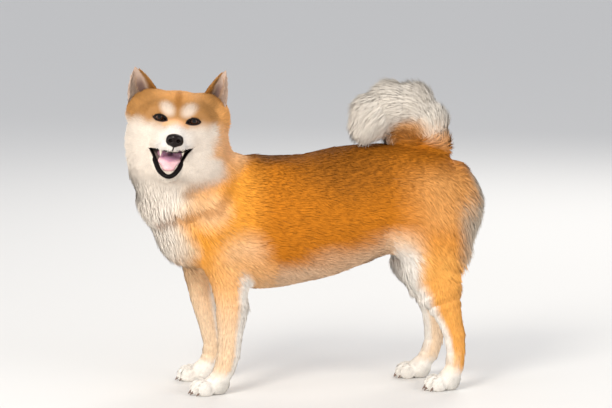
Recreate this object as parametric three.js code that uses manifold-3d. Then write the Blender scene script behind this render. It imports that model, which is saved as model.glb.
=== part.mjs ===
// A shiba inu standing with its head turned to its left, life size, as a still display model.
// Millimetres, +Z up. The dog faces -X, its left side faces -Y, and it stands on z = 0.
// The body is one smooth field of blended masses. Each node is that field inside its own box,
// meshed at its own fineness and parted from its neighbours by thin cuts.
import * as THREE from 'three';
import { mergeVertices } from 'three/addons/utils/BufferGeometryUtils.js';
import Module from 'manifold-3d';

const wasm = await Module();
wasm.setup();

// Driving sizes
const GAP = 0.3;
const FINENESS = 0.38;
const LOCK_FINENESS = 1.5;
const GROUND = 3;
const WITHERS = 395;
const HEAD_AT = [-213, -35, 437];
const HEAD_YAW = -3;
const HEAD_PITCH = -5.5;
const HEAD_ROLL = 5.5;
const EYE_RADIUS = 10.8;
const EYES = { eye_right: [-29, -36, 15], eye_left: [27, -36, 13] };
const LID_THICKNESS = 1.7;
const NOSE_AT = [1, -91, -21];
const EAR_THICKNESS = 4;
const LOCK_ROOT = 8;
const TAIL_CORE = 0.5;

const COLOURS = {
  coat: '#c98a45', pale: '#efe3cf', nose: '#241a18', eye: '#1c0f0a', lid: '#17110f',
  tongue: '#e6a3ab', ear: '#d9a679',
};

// Fields: each is a function of a point that is negative inside the shape.
const smoothMin = (a, b, k) => {
  const h = Math.max(k - Math.abs(a - b), 0) / k;
  return Math.min(a, b) - (h * h * k) / 4;
};

const blend = (k, ...fields) => (x, y, z) => {
  let d = fields[0](x, y, z);
  for (let i = 1; i < fields.length; i++) d = smoothMin(d, fields[i](x, y, z), k);
  return d;
};

const carve = (k, body, ...hollows) => (x, y, z) => {
  let d = body(x, y, z);
  for (const hollow of hollows) d = -smoothMin(-d, hollow(x, y, z), k);
  return d;
};

const ellipsoid = ([cx, cy, cz], [rx, ry, rz]) => (x, y, z) => {
  const px = x - cx;
  const py = y - cy;
  const pz = z - cz;
  const near = Math.hypot(px / rx, py / ry, pz / rz);
  const slope = Math.hypot(px / (rx * rx), py / (ry * ry), pz / (rz * rz));
  return slope < 1e-9 ? -Math.min(rx, ry, rz) : (near * (near - 1)) / slope;
};

// A limb through stations [x, y, z, radius, side radius]. The side is along Y, or along X.
const limb = (stations, k = 6, alongX = false) => (x, y, z) => {
  let d = Infinity;
  for (let i = 0; i + 1 < stations.length; i++) {
    const [ax, ay, az, ar, as = ar] = stations[i];
    const [bx, by, bz, br, bs = br] = stations[i + 1];
    const ux = bx - ax;
    const uy = by - ay;
    const uz = bz - az;
    const along = ((x - ax) * ux + (y - ay) * uy + (z - az) * uz) / (ux * ux + uy * uy + uz * uz);
    const t = Math.min(Math.max(along, 0), 1);
    const r = ar + (br - ar) * t;
    const s = (as + (bs - as) * t) / r;
    const px = (x - ax - ux * t) / (alongX ? s : 1);
    const py = (y - ay - uy * t) / (alongX ? 1 : s);
    const pz = z - az - uz * t;
    const part = (Math.hypot(px, py, pz) - r) * Math.min(1, s);
    d = i ? smoothMin(d, part, k) : part;
  }
  return d;
};

// A body along X through stations [x, top, bottom, half width], with rounded ends.
const barrel = (stations, capDepth, squareness = 2.3) => {
  const first = stations[0][0];
  const last = stations[stations.length - 1][0];
  const track = new THREE.CubicInterpolant(
    stations.map((s) => s[0]), stations.flatMap((s) => s.slice(1)), 3);
  return (x, y, z) => {
    const at = Math.min(Math.max(x, first), last);
    const [top, bottom, width] = track.evaluate(at);
    const height = (top - bottom) / 2;
    const size = Math.min(width, height);
    const across = Math.abs(y) / width;
    const up = Math.abs(z - (top + bottom) / 2) / height;
    const ring = Math.pow(across ** squareness + up ** squareness, 1 / squareness);
    return Math.hypot(ring * size, ((x - at) * size) / capDepth) - size;
  };
};

const inFrame = (matrix, field) => {
  const e = matrix.clone().invert().elements;
  return (x, y, z) => field(
    e[0] * x + e[4] * y + e[8] * z + e[12],
    e[1] * x + e[5] * y + e[9] * z + e[13],
    e[2] * x + e[6] * y + e[10] * z + e[14]);
};

const degrees = THREE.MathUtils.degToRad;
const frameAt = ([x, y, z], yaw = 0, pitch = 0, roll = 0) =>
  new THREE.Matrix4().makeRotationFromEuler(
    new THREE.Euler(degrees(pitch), degrees(roll), degrees(yaw), 'ZXY')).setPosition(x, y, z);

// Meshing: one vertex in each grid cell that the surface crosses, pulled onto the surface.
function surfaceOf(field, low, high, cell) {
  const count = low.map((v, i) => Math.ceil((high[i] - v) / cell) + 1);
  const [nx, ny, nz] = count;
  const values = new Float32Array(nx * ny * nz);
  const at = (i, j, k) => (k * ny + j) * nx + i;
  for (let k = 0; k < nz; k++) {
    for (let j = 0; j < ny; j++) {
      for (let i = 0; i < nx; i++) {
        const edge = i === 0 || j === 0 || k === 0 || i === nx - 1 || j === ny - 1 || k === nz - 1;
        const d = field(low[0] + i * cell, low[1] + j * cell, low[2] + k * cell);
        values[at(i, j, k)] = edge ? Math.max(d, 0.01 * cell) : d || 1e-4;
      }
    }
  }
  const cornerSteps = [...Array(8)].map((_, c) => [c & 1, (c >> 1) & 1, (c >> 2) & 1]);
  const edges = [];
  for (let a = 0; a < 8; a++) {
    for (const bit of [1, 2, 4]) if (!(a & bit)) edges.push([a, a | bit]);
  }
  const vertexAt = new Int32Array(nx * ny * nz).fill(-1);
  const points = [];
  for (let k = 0; k < nz - 1; k++) {
    for (let j = 0; j < ny - 1; j++) {
      for (let i = 0; i < nx - 1; i++) {
        const v = cornerSteps.map(([a, b, c]) => values[at(i + a, j + b, k + c)]);
        const sum = [0, 0, 0];
        let crossings = 0;
        for (const [a, b] of edges) {
          if (v[a] < 0 === v[b] < 0) continue;
          const t = v[a] / (v[a] - v[b]);
          for (let n = 0; n < 3; n++) {
            sum[n] += cornerSteps[a][n] + (cornerSteps[b][n] - cornerSteps[a][n]) * t;
          }
          crossings++;
        }
        if (!crossings) continue;
        vertexAt[at(i, j, k)] = points.length / 3;
        const base = [i, j, k];
        points.push(...sum.map((s, n) => low[n] + (base[n] + s / crossings) * cell));
      }
    }
  }
  settle(points, field, low, high, cell);
  const faces = [];
  const axes = [[1, 0, 0], [0, 1, 0], [0, 0, 1]];
  for (let k = 0; k < nz - 1; k++) {
    for (let j = 0; j < ny - 1; j++) {
      for (let i = 0; i < nx - 1; i++) {
        const inside = values[at(i, j, k)] < 0;
        axes.forEach(([a, b, c], axis) => {
          if (inside === values[at(i + a, j + b, k + c)] < 0) return;
          const [u, w] = [axes[(axis + 1) % 3], axes[(axis + 2) % 3]];
          const around = [[0, 0], [1, 0], [1, 1], [0, 1]].map(([p, q]) => vertexAt[
            at(i - p * u[0] - q * w[0], j - p * u[1] - q * w[1], k - p * u[2] - q * w[2])]);
          if (!inside) around.reverse();
          pushQuad(faces, points, around);
        });
      }
    }
  }
  return solidOf(points, faces);
}

// Two Newton steps bring each vertex onto the field's surface, at most half a cell away.
function settle(points, field, low, high, cell) {
  const reach = 0.05 * cell;
  for (let v = 0; v < points.length; v += 3) {
    const start = points.slice(v, v + 3);
    for (let step = 0; step < 2; step++) {
      const [x, y, z] = points.slice(v, v + 3);
      const d = field(x, y, z);
      const slope = [
        (field(x + reach, y, z) - d) / reach,
        (field(x, y + reach, z) - d) / reach,
        (field(x, y, z + reach) - d) / reach];
      const size = slope[0] ** 2 + slope[1] ** 2 + slope[2] ** 2 || 1;
      for (let n = 0; n < 3; n++) {
        const moved = points[v + n] - (d * slope[n]) / Math.max(size, 0.3);
        const nearest = Math.min(Math.max(moved, start[n] - cell / 2), start[n] + cell / 2);
        points[v + n] = Math.min(Math.max(nearest, low[n]), high[n]);
      }
    }
  }
}

// Splits a quad along its shorter diagonal.
function pushQuad(faces, points, [a, b, c, d]) {
  const apart = (p, q) => Math.hypot(
    points[3 * p] - points[3 * q], points[3 * p + 1] - points[3 * q + 1],
    points[3 * p + 2] - points[3 * q + 2]);
  if (apart(a, c) < apart(b, d)) faces.push(a, b, c, a, c, d);
  else faces.push(a, b, d, b, c, d);
}

function solidOf(points, faces) {
  return new wasm.Manifold(new wasm.Mesh({
    numProp: 3, vertProperties: new Float32Array(points), triVerts: new Uint32Array(faces),
  }));
}

function solidOfGeometry(geometry, matrix) {
  const bare = geometry.index ? geometry.toNonIndexed() : geometry.clone();
  for (const name of Object.keys(bare.attributes)) {
    if (name !== 'position') bare.deleteAttribute(name);
  }
  if (matrix) bare.applyMatrix4(matrix);
  const merged = mergeVertices(bare, 1e-4);
  return solidOf(merged.attributes.position.array, merged.index.array);
}

const boxSolid = (size, matrix) => solidOfGeometry(new THREE.BoxGeometry(...size), matrix);

// The largest body of a solid, without the slivers that cutting leaves
const largest = (solid, fineness = FINENESS) =>
  solid.decompose().sort((a, b) => b.volume() - a.volume())[0].setTolerance(fineness);

// Torso: [x, top, bottom, half width]
const torso = barrel([
  [-180, 352, 212, 60], [-150, 374, 180, 76], [-105, 392, 166, 86], [-60, WITHERS - 4, 165, 91],
  [-10, 392, 173, 92], [40, 402, 184, 88], [90, 408, 203, 80], [130, 409, 219, 76],
  [180, 405, 226, 78], [215, 396, 230, 72], [240, 383, 240, 58]], 46);
const breast = ellipsoid([-188, 0, 265], [62, 57, 60]);
const neck = limb([
  [-150, 0, 290, 80, 76], [-196, -8, 338, 84, 74], [-209, -20, 385, 77, 72],
  [-212, -28, 415, 70, 68]], 20);
const ruff = ellipsoid([-214, -30, 372], [77, 66, 46]);

// Head, in its own frame: +X is the dog's left, -Y is ahead, +Z is up.
const headFrame = frameAt(HEAD_AT, HEAD_YAW, HEAD_PITCH, HEAD_ROLL);
const mirrored = (field) => (x, y, z) => field(Math.abs(x), y, z);
const skull = ellipsoid([0, 16, 12], [72, 60, 51]);
const cheeks = mirrored(ellipsoid([43, 14, -20], [38, 44, 44]));
const earRoots = mirrored(ellipsoid([56, 26, 24], [26, 24, 22]));
const brows = mirrored(ellipsoid([27, -26, 27], [17, 14, 10]));
const bridge = limb([[0, -20, 4, 20, 19], [0, -62, -8, 12, 12]], 6, true);
const muzzle = limb([[0, -18, -15, 27, 38], [0, -50, -19, 19, 28], [0, -80, -23, 12.5, 15]], 6, true);
const jaw = limb([[-2, 0, -46, 22, 34], [-3, -36, -58, 15, 28], [-4, -67, -80, 10, 15]], 6, true);
const faceMass = blend(12, blend(20, skull, cheeks, earRoots), brows, blend(9, muzzle, bridge, jaw));
const head = inFrame(headFrame, faceMass);

// Legs: [x, y, z, radius, side radius] from the trunk down
const LEGS = {
  foreleg_left: {
    stations: [[-148, -44, 270, 46, 38], [-131, -54, 185, 33, 29], [-126, -59, 152, 28, 25],
      [-129, -61, 100, 21.5, 20], [-131, -62, 70, 19.5, 18.5], [-137, -63, 48, 18.5, 18.5],
      [-145, -64, 30, 17, 20]],
    paw: [-159, -63, 15], yaw: 12, front: true,
  },
  foreleg_right: {
    stations: [[-178, 40, 270, 46, 38], [-174, 48, 190, 32, 28], [-168, 52, 152, 25.5, 23],
      [-157, 55, 100, 20.5, 19.5], [-151, 56, 68, 18.5, 18], [-154, 57, 46, 17.5, 18],
      [-162, 57, 30, 16, 19]],
    paw: [-177, 57, 15], yaw: -8, front: true,
  },
  hindleg_left: {
    stations: [[212, -38, 300, 60, 44], [203, -45, 250, 66, 42], [200, -50, 208, 54, 35],
      [214, -54, 172, 35, 28], [219, -56, 150, 25, 21], [232, -57, 118, 19.5, 17.5],
      [240, -57, 96, 19, 16.5], [243, -57, 68, 16.5, 15.5], [241, -57, 42, 16, 17],
      [236, -58, 28, 16, 19]],
    paw: [224, -57, 15], yaw: 8, front: false,
  },
  hindleg_right: {
    stations: [[208, 38, 300, 60, 44], [196, 45, 250, 62, 42], [190, 48, 208, 49, 35],
      [203, 51, 172, 31, 26], [208, 52, 150, 23, 20], [218, 53, 118, 18.5, 17],
      [221, 53, 95, 18.5, 16.5], [221, 54, 68, 16.5, 15.5], [214, 54, 44, 16, 17],
      [203, 54, 28, 15, 19]],
    paw: [189, 54, 15], yaw: -6, front: false,
  },
};

// Paw, in its own frame: -X is ahead. Four toes, the two middle ones longest.
const TOES = [[-14, -17], [-22, -6.2], [-22, 6.2], [-14, 17]];
function pawField({ paw, yaw, front }) {
  const size = front ? 1 : 0.92;
  const toe = ([x, y]) => ellipsoid([x * size, y * size, -2], [14 * size, 8 * size, 15.5]);
  const palm = ellipsoid([6, 0, 2], [23 * size, 20 * size, 19]);
  const toes = blend(2.5, ...TOES.map(toe));
  return inFrame(frameAt(paw, yaw), blend(6, palm, toes));
}

const legs = Object.fromEntries(Object.entries(LEGS).map(([name, leg]) =>
  [name, blend(8, limb(leg.stations, 14), pawField(leg))]));
const trunk = blend(26, torso, breast, blend(24, neck, ruff));
const standing = blend(22, blend(20, trunk, head), ...Object.values(legs));
const body = standing;

// Tail: curled forward over the back, out to the tips of its brush
const TAIL = [[212, 4, 372, 31], [213, 3, 402, 27], [205, 0, 436, 31], [178, -3, 465, 38],
  [142, -7, 470, 40], [113, -12, 456, 38], [102, -15, 442, 31]];
const tail = limb(TAIL.map(([x, y, z, r], i) => [x, y, z, r * (i < 2 ? 0.8 : TAIL_CORE)]), 14);
const rear = blend(20, body, limb(TAIL.slice(0, 2).map(([x, y, z, r]) => [x, y, z, r * 0.85]), 14));

// Flesh is cut into nodes by blocks: a block is a size and a matrix.
const place = (x, y, z) => new THREE.Matrix4().makeTranslation(x, y, z);
const inHead = (x, y, z, roll = 0) => headFrame.clone().multiply(place(x, y, z))
  .multiply(new THREE.Matrix4().makeRotationY(degrees(roll)));
const range = ([x0, x1], [y0, y1], [z0, z1]) => ({
  size: [x1 - x0, y1 - y0, z1 - z0],
  matrix: place((x0 + x1) / 2, (y0 + y1) / 2, (z0 + z1) / 2),
});

// A block with one face at a point, reaching back from it against the face's normal.
function behind(point, normal, width, depth, frame = new THREE.Matrix4()) {
  const out = new THREE.Vector3(...normal).normalize();
  const turn = new THREE.Matrix4().makeRotationFromQuaternion(
    new THREE.Quaternion().setFromUnitVectors(new THREE.Vector3(0, 0, 1), out));
  const centre = new THREE.Vector3(...point).addScaledVector(out, -depth / 2);
  return { size: [width, width, depth], matrix: frame.clone().multiply(turn.setPosition(centre)) };
}

// The locks whose root lies inside a block
function rootedIn(locks, { size, matrix }) {
  const toBlock = matrix.clone().invert();
  const within = ({ root }) => {
    const place = root.clone().applyMatrix4(toBlock).toArray();
    return place.every((v, axis) => Math.abs(v) <= size[axis] / 2);
  };
  return locks.filter(within).map(({ solid }) => solid);
}

const taken = [];
const nodes = [];
function addNode(name, field, block, cell, colour, options = {}) {
  const { add = [], locks = [], less = [], clear = [], claim = true, fineness } = options;
  const { size, matrix } = block;
  const reach = new THREE.Box3(
    new THREE.Vector3(...size).multiplyScalar(-0.5),
    new THREE.Vector3(...size).multiplyScalar(0.5)).applyMatrix4(matrix);
  const low = reach.min.toArray().map((v) => v - 1.3 * cell);
  const high = reach.max.toArray().map((v) => v + 1.3 * cell);
  let solid = surfaceOf(field, low, high, cell);
  for (const cut of less) solid = solid.subtract(cut);
  const grown = rootedIn(locks, block);
  if (add.length + grown.length) solid = wasm.Manifold.union([solid, ...add, ...grown]);
  for (const cut of clear) solid = solid.subtract(cut);
  solid = solid.intersect(boxSolid(size, matrix));
  for (const other of taken) solid = solid.subtract(other);
  if (claim) taken.push(boxSolid(size.map((s) => s + 2 * GAP), matrix));
  nodes.push({ name, colour, solid: largest(solid, fineness) });
  return nodes[nodes.length - 1];
}

// A closed skin over rings of points, each ring in the same order, ending in flat caps or a tip.
function loft(rings, tip) {
  const n = rings[0].length;
  const points = rings.flat(2);
  const faces = [];
  for (let r = 0; r + 1 < rings.length; r++) {
    for (let i = 0; i < n; i++) {
      const j = (i + 1) % n;
      faces.push(r * n + i, r * n + j, (r + 1) * n + j, r * n + i, (r + 1) * n + j, (r + 1) * n + i);
    }
  }
  const cap = (ring, from, reverse) => {
    const middle = [0, 1, 2].map((c) => ring.reduce((s, p) => s + p[c], 0) / n);
    const hub = points.push(...(tip && reverse ? tip : middle)) / 3 - 1;
    for (let i = 0; i < n; i++) {
      const j = (i + 1) % n;
      faces.push(...(reverse ? [from + i, from + j, hub] : [from + j, from + i, hub]));
    }
  };
  cap(rings[0], 0, false);
  cap(rings[rings.length - 1], (rings.length - 1) * n, true);
  const solid = solidOf(points, faces);
  if (solid.volume() > 0) return solid;
  for (let f = 0; f < faces.length; f += 3) [faces[f], faces[f + 1]] = [faces[f + 1], faces[f]];
  return solidOf(points, faces);
}

// A round cord along a smooth curve, in the head's frame
function cord(stations, radius, steps = 14, sides = 6) {
  const curve = new THREE.CatmullRomCurve3(stations.map((s) => new THREE.Vector3(...s)));
  const frames = curve.computeFrenetFrames(steps);
  const rings = [...Array(steps + 1)].map((_, i) => {
    const centre = curve.getPointAt(i / steps);
    const swell = radius * (0.55 + 0.45 * Math.sin((Math.PI * (i + 0.5)) / (steps + 1)));
    return [...Array(sides)].map((__, k) => {
      const turn = (2 * Math.PI * k) / sides;
      return centre.clone()
        .addScaledVector(frames.normals[i], swell * Math.cos(turn))
        .addScaledVector(frames.binormals[i], swell * Math.sin(turn))
        .applyMatrix4(headFrame).toArray();
    });
  });
  return loft(rings);
}

const headBall = (centre, radii, across = 14, up = 9) => solidOfGeometry(
  new THREE.SphereGeometry(1, across, up),
  inHead(...centre).scale(new THREE.Vector3(...radii)));

// Mouth: a wedge opened from the corners forward, with a throat behind it
const MOUTH_TILT = -7.5;
const MOUTH_WIDTH = 74;
const MOUTH_BACK = [-3.5, -33, -30];
const wedgeShape = new THREE.Shape([[0, 0], [-84, -9], [-84, -84]].map((p) => new THREE.Vector2(...p)));
const wedge = solidOfGeometry(
  new THREE.ExtrudeGeometry(wedgeShape, { depth: MOUTH_WIDTH, bevelEnabled: false }),
  inHead(...MOUTH_BACK, MOUTH_TILT)
    .multiply(new THREE.Matrix4().set(0, 0, 1, -MOUTH_WIDTH / 2, 1, 0, 0, 0, 0, 1, 0, 0, 0, 0, 0, 1)));
const throat = headBall([-3, -30, -40], [20, 24, 12]);
const UPPER_LIP = [[-41, -35, -34], [-31, -52, -35], [-18, -74, -35], [-2, -88, -38],
  [15, -74, -36], [26, -54, -31], [35, -37, -25]];
const LOWER_LIP = [[-41, -35, -35], [-34, -44, -46], [-27, -56, -58], [-21, -67, -69],
  [-13, -76, -76], [-5, -80, -79], [3, -77, -76], [10, -68, -67], [15, -58, -56],
  [23, -47, -40], [35, -37, -25]];
const lips = [cord(UPPER_LIP, 3.4, 12, 5), cord(LOWER_LIP, 3.8, 16, 5)];
const tooth = ([x, y, z], length, radius) => solidOfGeometry(
  new THREE.ConeGeometry(radius, length + 4, 6, 1),
  inHead(x, y, z).multiply(new THREE.Matrix4().makeRotationX(degrees(90 + Math.sign(length) * 90))));
const upperTeeth = [tooth([-17, -66, -41], 9, 2.4), tooth([13, -66, -40], 9, 2.4),
  ...[-8, -4, 0, 4, 8].map((x) => tooth([x - 2, -79 + x * x * 0.05, -40.5], 3.5, 1.9))];
const mouthCuts = [wedge, throat];

// Eyes and lids
const eyeBall = (name, extra, across, up) =>
  headBall(EYES[name], Array(3).fill(EYE_RADIUS + extra), across, up);
const LID_OPENING = [9.4, 5.4];
function lidOpening(name) {
  const side = Math.sign(EYES[name][0]);
  const shape = new THREE.Shape([...Array(14)].map((_, i) => {
    const turn = (2 * Math.PI * i) / 14;
    const across = Math.cos(turn);
    const up = Math.sign(Math.sin(turn)) * Math.abs(Math.sin(turn)) ** 1.35;
    return new THREE.Vector2(LID_OPENING[0] * across, LID_OPENING[1] * up);
  }));
  const turned = inHead(...EYES[name], -7 * side).multiply(
    new THREE.Matrix4().makeRotationX(degrees(90)));
  return solidOfGeometry(
    new THREE.ExtrudeGeometry(shape, { depth: 30, bevelEnabled: false }), turned);
}
const lids = Object.keys(EYES).map((name) => eyeBall(name, GAP + LID_THICKNESS, 15, 10));
const eyeCuts = Object.keys(EYES).flatMap((name) => [eyeBall(name, GAP, 12, 8), lidOpening(name)]);

// Ears: a cupped blade on each side, open to the front
const EARS = {
  ear_right: { inner: [-38, 16, 57], outer: [-83, 14, 37], tip: [-77, 4, 93] },
  ear_left: { inner: [39, 16, 58], outer: [75, 12, 37], tip: [71, 2, 101] },
};
const EAR_CUP = 17;
const EAR_ROOT = -0.45;
function earBlade({ inner, outer, tip }) {
  const [a, b, c] = [inner, outer, tip].map((p) => new THREE.Vector3(...p));
  const back = new THREE.Vector3(0, 1, 0);
  const rings = [EAR_ROOT, -0.15, 0.1, 0.35, 0.58, 0.78, 0.93].map((t) => {
    const bow = Math.sin(Math.PI * Math.max(t, 0) ** 0.8) * 0.07;
    const edge = (p, q) => p.clone().lerp(c, t).addScaledVector(p.clone().sub(q), bow);
    const [from, to] = [edge(a, b), edge(b, a)];
    const cup = EAR_CUP * (1 - Math.max(t, 0)) ** 0.9;
    const thick = EAR_THICKNESS * (1 - 0.5 * Math.max(t, 0));
    const across = (u, depth) => from.clone().lerp(to, u)
      .addScaledVector(back, depth * Math.sin(Math.PI * u)).applyMatrix4(headFrame).toArray();
    return [...[0, 1, 2, 3, 4, 5, 6].map((i) => across(i / 6, cup + 0.5)),
      ...[5, 4, 3, 2, 1].map((i) => across(i / 6, cup - thick))];
  });
  return loft(rings, c.applyMatrix4(headFrame).toArray());
}

// Claws, as part of each paw
function claws({ paw, yaw, front }) {
  const size = front ? 1 : 0.92;
  const frame = frameAt(paw, yaw);
  return TOES.map(([x, y]) => solidOfGeometry(
    new THREE.ConeGeometry(2.2, 9, 4, 1),
    frame.clone().multiply(place((x - 12) * size, y * size * 1.04, -9))
      .multiply(new THREE.Matrix4().makeRotationZ(degrees(122)))));
}

// Tongue: lies in the lower jaw, a little clear of it, with a groove down its middle
const TONGUE = [[-4, -30, -29, 7, 17], [-4.5, -44, -42, 7, 18], [-5.5, -57, -55, 7, 15],
  [-5.5, -67, -66, 6, 10]];
const GROOVE = [[-4, -28, -20, 3.5], [-5, -54, -46, 3.5]];
const tongueField = inFrame(headFrame, carve(3, limb(TONGUE, 6, true), limb(GROOVE, 2)));
const mouthSpace = wedge.translate(0, -3 * GAP, -1.2 * GAP);
addNode('tongue', tongueField, { size: [48, 64, 64], matrix: inHead(-4, -50, -48) }, 4.5, 'tongue',
  { claim: false });
const tongueNode = nodes[nodes.length - 1];
tongueNode.solid = largest([cord(LOWER_LIP, 4.6, 16, 6), cord(UPPER_LIP, 4.2, 12, 6)]
  .reduce((solid, lip) => solid.subtract(lip), tongueNode.solid.intersect(mouthSpace)));

const inMouth = { less: mouthCuts, add: lips };
addNode('lower_jaw', body, { size: [64, 74, 60], matrix: inHead(-3, -51, -66.5) }, 7, 'pale', inMouth);

// Nose: the pad, its wings and the two nostrils
const pad = blend(4, ellipsoid([0, 1, 4.5], [12.5, 9.5, 6.5]), ellipsoid([0, 0, -2], [8, 8.5, 9]),
  mirrored(ellipsoid([8, 2, -1], [6, 8, 7])));
const noseField = inFrame(headFrame.clone().multiply(place(...NOSE_AT)), pad);
const nostrils = [-1, 1].map((side) => headBall(
  [NOSE_AT[0] + side * 6.8, NOSE_AT[1] - 7.5, NOSE_AT[2] - 1], [3.2, 5, 3], 7, 5));
const noseBlock = { size: [40, 26, 31], matrix: inHead(NOSE_AT[0], NOSE_AT[1] - 7, NOSE_AT[2]) };
addNode('nose', blend(3, body, noseField), noseBlock, 3.6, 'nose', { less: nostrils });
addNode('muzzle', body, { size: [80, 82, 36], matrix: inHead(0, -69, -20) }, 7, 'pale',
  { less: mouthCuts, add: [...lips, ...upperTeeth] });

for (const [name, ear] of Object.entries(EARS)) {
  const middle = new THREE.Vector3(...ear.inner).lerp(new THREE.Vector3(...ear.outer), 0.5);
  const lean = new THREE.Vector3(...ear.outer).sub(new THREE.Vector3(...ear.inner));
  const up = new THREE.Vector3(-lean.z, 0, lean.x).multiplyScalar(Math.sign(lean.x));
  const top = middle.clone().addScaledVector(up.normalize(), 72);
  const block = behind(top.toArray(), up.toArray(), 86, 76, headFrame);
  addNode(name, body, block, 11, 'ear', { add: [earBlade(ear)] });
}

for (const name of Object.keys(EYES)) {
  nodes.push({ name, colour: 'eye', solid: eyeBall(name, 0, 12, 8) });
}
addNode('head', body, behind([-2, 0, -72], [0.42, 0.2, -0.88], 300, 260, headFrame), 12.5, 'coat',
  { less: [...mouthCuts], add: [...lips, ...lids] });
const headNode = nodes[nodes.length - 1];
headNode.solid = largest(eyeCuts.reduce((solid, cut) => solid.subtract(cut), headNode.solid));

// Locks of long fur: each is flat and tapered, rooted in the flesh, raised and bent along its lie.
let draw = 20;
function random() {
  draw = (draw * 16807) % 2147483647;
  return draw / 2147483647;
}
const vary = (value, share) => value * (1 + share * (2 * random() - 1));

function lock(root, out, lie, { length, width, rise }) {
  const along = lie.clone().addScaledVector(out, -lie.dot(out)).normalize()
    .applyAxisAngle(out, 0.24 * (2 * random() - 1));
  const side = new THREE.Vector3().crossVectors(out, along);
  const [reach, high, wide] = [vary(length, 0.15), vary(rise, 0.2), vary(width, 0.12)];
  const at = (t) => root.clone().addScaledVector(along, reach * t)
    .addScaledVector(out, (LOCK_ROOT + high) * Math.sin((Math.PI / 2) * t) - LOCK_ROOT);
  const rings = [0, 0.6].map((t) => {
    const up = new THREE.Vector3().crossVectors(at(t + 0.01).sub(at(t - 0.01)), side).normalize();
    const half = (wide / 2) * (1 - t ** 3);
    const ridge = 1.2 + 0.14 * wide * (1 - t);
    const point = (across, above) => at(t).addScaledVector(side, across)
      .addScaledVector(up, above * Math.sign(up.dot(out) || 1)).toArray();
    return [point(-half, 0), point(half, 0), point(0, ridge)];
  });
  return { root, tip: at(1), solid: loft(rings, at(1).toArray()) };
}

// The nearest point of a field's surface, with the way out of it
function surfacePoint(field, from) {
  const point = new THREE.Vector3(...from);
  const out = new THREE.Vector3();
  for (let step = 0; step < 8; step++) {
    const { x, y, z } = point;
    const d = field(x, y, z);
    out.set(field(x + 1, y, z) - d, field(x, y + 1, z) - d, field(x, y, z + 1) - d);
    const slope = Math.max(out.length(), 0.4);
    point.addScaledVector(out.normalize(), -d / slope);
  }
  return [point, out];
}

// Rows of locks beside one another: each row runs from one point to another, every second one shifted
function lockRows(field, { rows, count, lie, size }) {
  return rows.flatMap(([from, to], row) => [...Array(count)].map((_, i) => {
    const t = (i + (row % 2 ? 0.15 : 0.6)) / count;
    const start = from.map((v, axis) => v + (to[axis] - v) * t + 2 * (random() - 0.5));
    const [root, out] = surfacePoint(field, start);
    return lock(root, out, new THREE.Vector3(...lie), size);
  }));
}

const bothSides = (lines) => lines.flatMap(([from, to]) => [1, -1].map((side) =>
  [from, to].map(([x, y, z]) => [x, side * y, z])));
const breeches = lockRows(rear, {
  rows: bothSides([[[300, 15, 338], [290, 15, 225]], [[290, 58, 330], [286, 55, 222]]]),
  count: 4, lie: [0.5, 0, -0.86], size: { length: 44, width: 36, rise: 9 },
});
const ruffLocks = lockRows(body, {
  rows: bothSides([[[-320, 15, 336], [-262, 15, 212]], [[-300, 52, 330], [-235, 50, 215]]]),
  count: 3, lie: [0.3, 0, -0.95], size: { length: 46, width: 38, rise: 4 },
});
const bellyLocks = lockRows(body, {
  rows: bothSides([[[-48, 18, 130], [92, 18, 165]]]),
  count: 4, lie: [0.8, 0, -0.6], size: { length: 32, width: 34, rise: 5 },
});

// The tail's brush: rings of locks round its core, longest on the outside of the curl
const CURL_MIDDLE = new THREE.Vector3(163, -5, 425);
const BRUSH_ROWS = 5;
const BRUSH_ROUND = 6;
const brushCurve = new THREE.CatmullRomCurve3(TAIL.slice(1).map(([x, y, z]) => new THREE.Vector3(x, y, z)));
function brush() {
  const locks = [];
  for (let row = 0; row < BRUSH_ROWS; row++) {
    const t = (row + 0.35) / BRUSH_ROWS;
    const station = 1 + t * (TAIL.length - 2);
    const [before, after] = [TAIL[Math.floor(station)][3], TAIL[Math.ceil(station)][3]];
    const radius = before + (after - before) * (station % 1);
    const centre = brushCurve.getPoint(t);
    const along = brushCurve.getTangent(t);
    const away = centre.clone().sub(CURL_MIDDLE);
    away.addScaledVector(along, -away.dot(along)).normalize();
    for (let i = 0; i < BRUSH_ROUND; i++) {
      const turn = (2 * Math.PI * (i + 0.5 * (row % 2) + 0.16 * (random() - 0.5))) / BRUSH_ROUND;
      const out = away.clone().applyAxisAngle(along, turn);
      const outer = 0.8 + 0.2 * Math.cos(turn);
      const size = { length: 44 * outer, width: 44, rise: radius * (1.25 - TAIL_CORE) * outer };
      const grown = lock(centre.clone().addScaledVector(out, radius * TAIL_CORE), out, along, size);
      if (body(...grown.tip.toArray()) > 4) locks.push(grown);
    }
  }
  return locks;
}
const brushLocks = brush();

// Tail in three lengths, clear of the back
const back = surfaceOf((x, y, z) => body(x, y, z) - 1.5, [40, -80, 360], [260, 80, 450], 9);
const TAIL_CUT = [192, -2, 449];
const brushed = { locks: brushLocks, clear: [back], claim: false, fineness: LOCK_FINENESS };
const [tipBlock, middleBlock, baseBlock] = [range([20, 142], [-90, 90], [370, 530]),
  behind(TAIL_CUT, [0.72, 0, -0.69], 180, 150), range([184, 284], [-90, 90], [404, 520])];
const grownBy = ({ size, matrix }) => boxSolid(size.map((s) => s + 2 * GAP), matrix);
addNode('tail_tip', tail, tipBlock, 13, 'pale', brushed);
addNode('tail_middle', tail, middleBlock, 13, 'pale', { ...brushed, clear: [back, grownBy(tipBlock)] });
addNode('tail_base', tail, baseBlock, 13, 'coat',
  { ...brushed, clear: [grownBy(tipBlock), grownBy(middleBlock)], claim: true });

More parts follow.
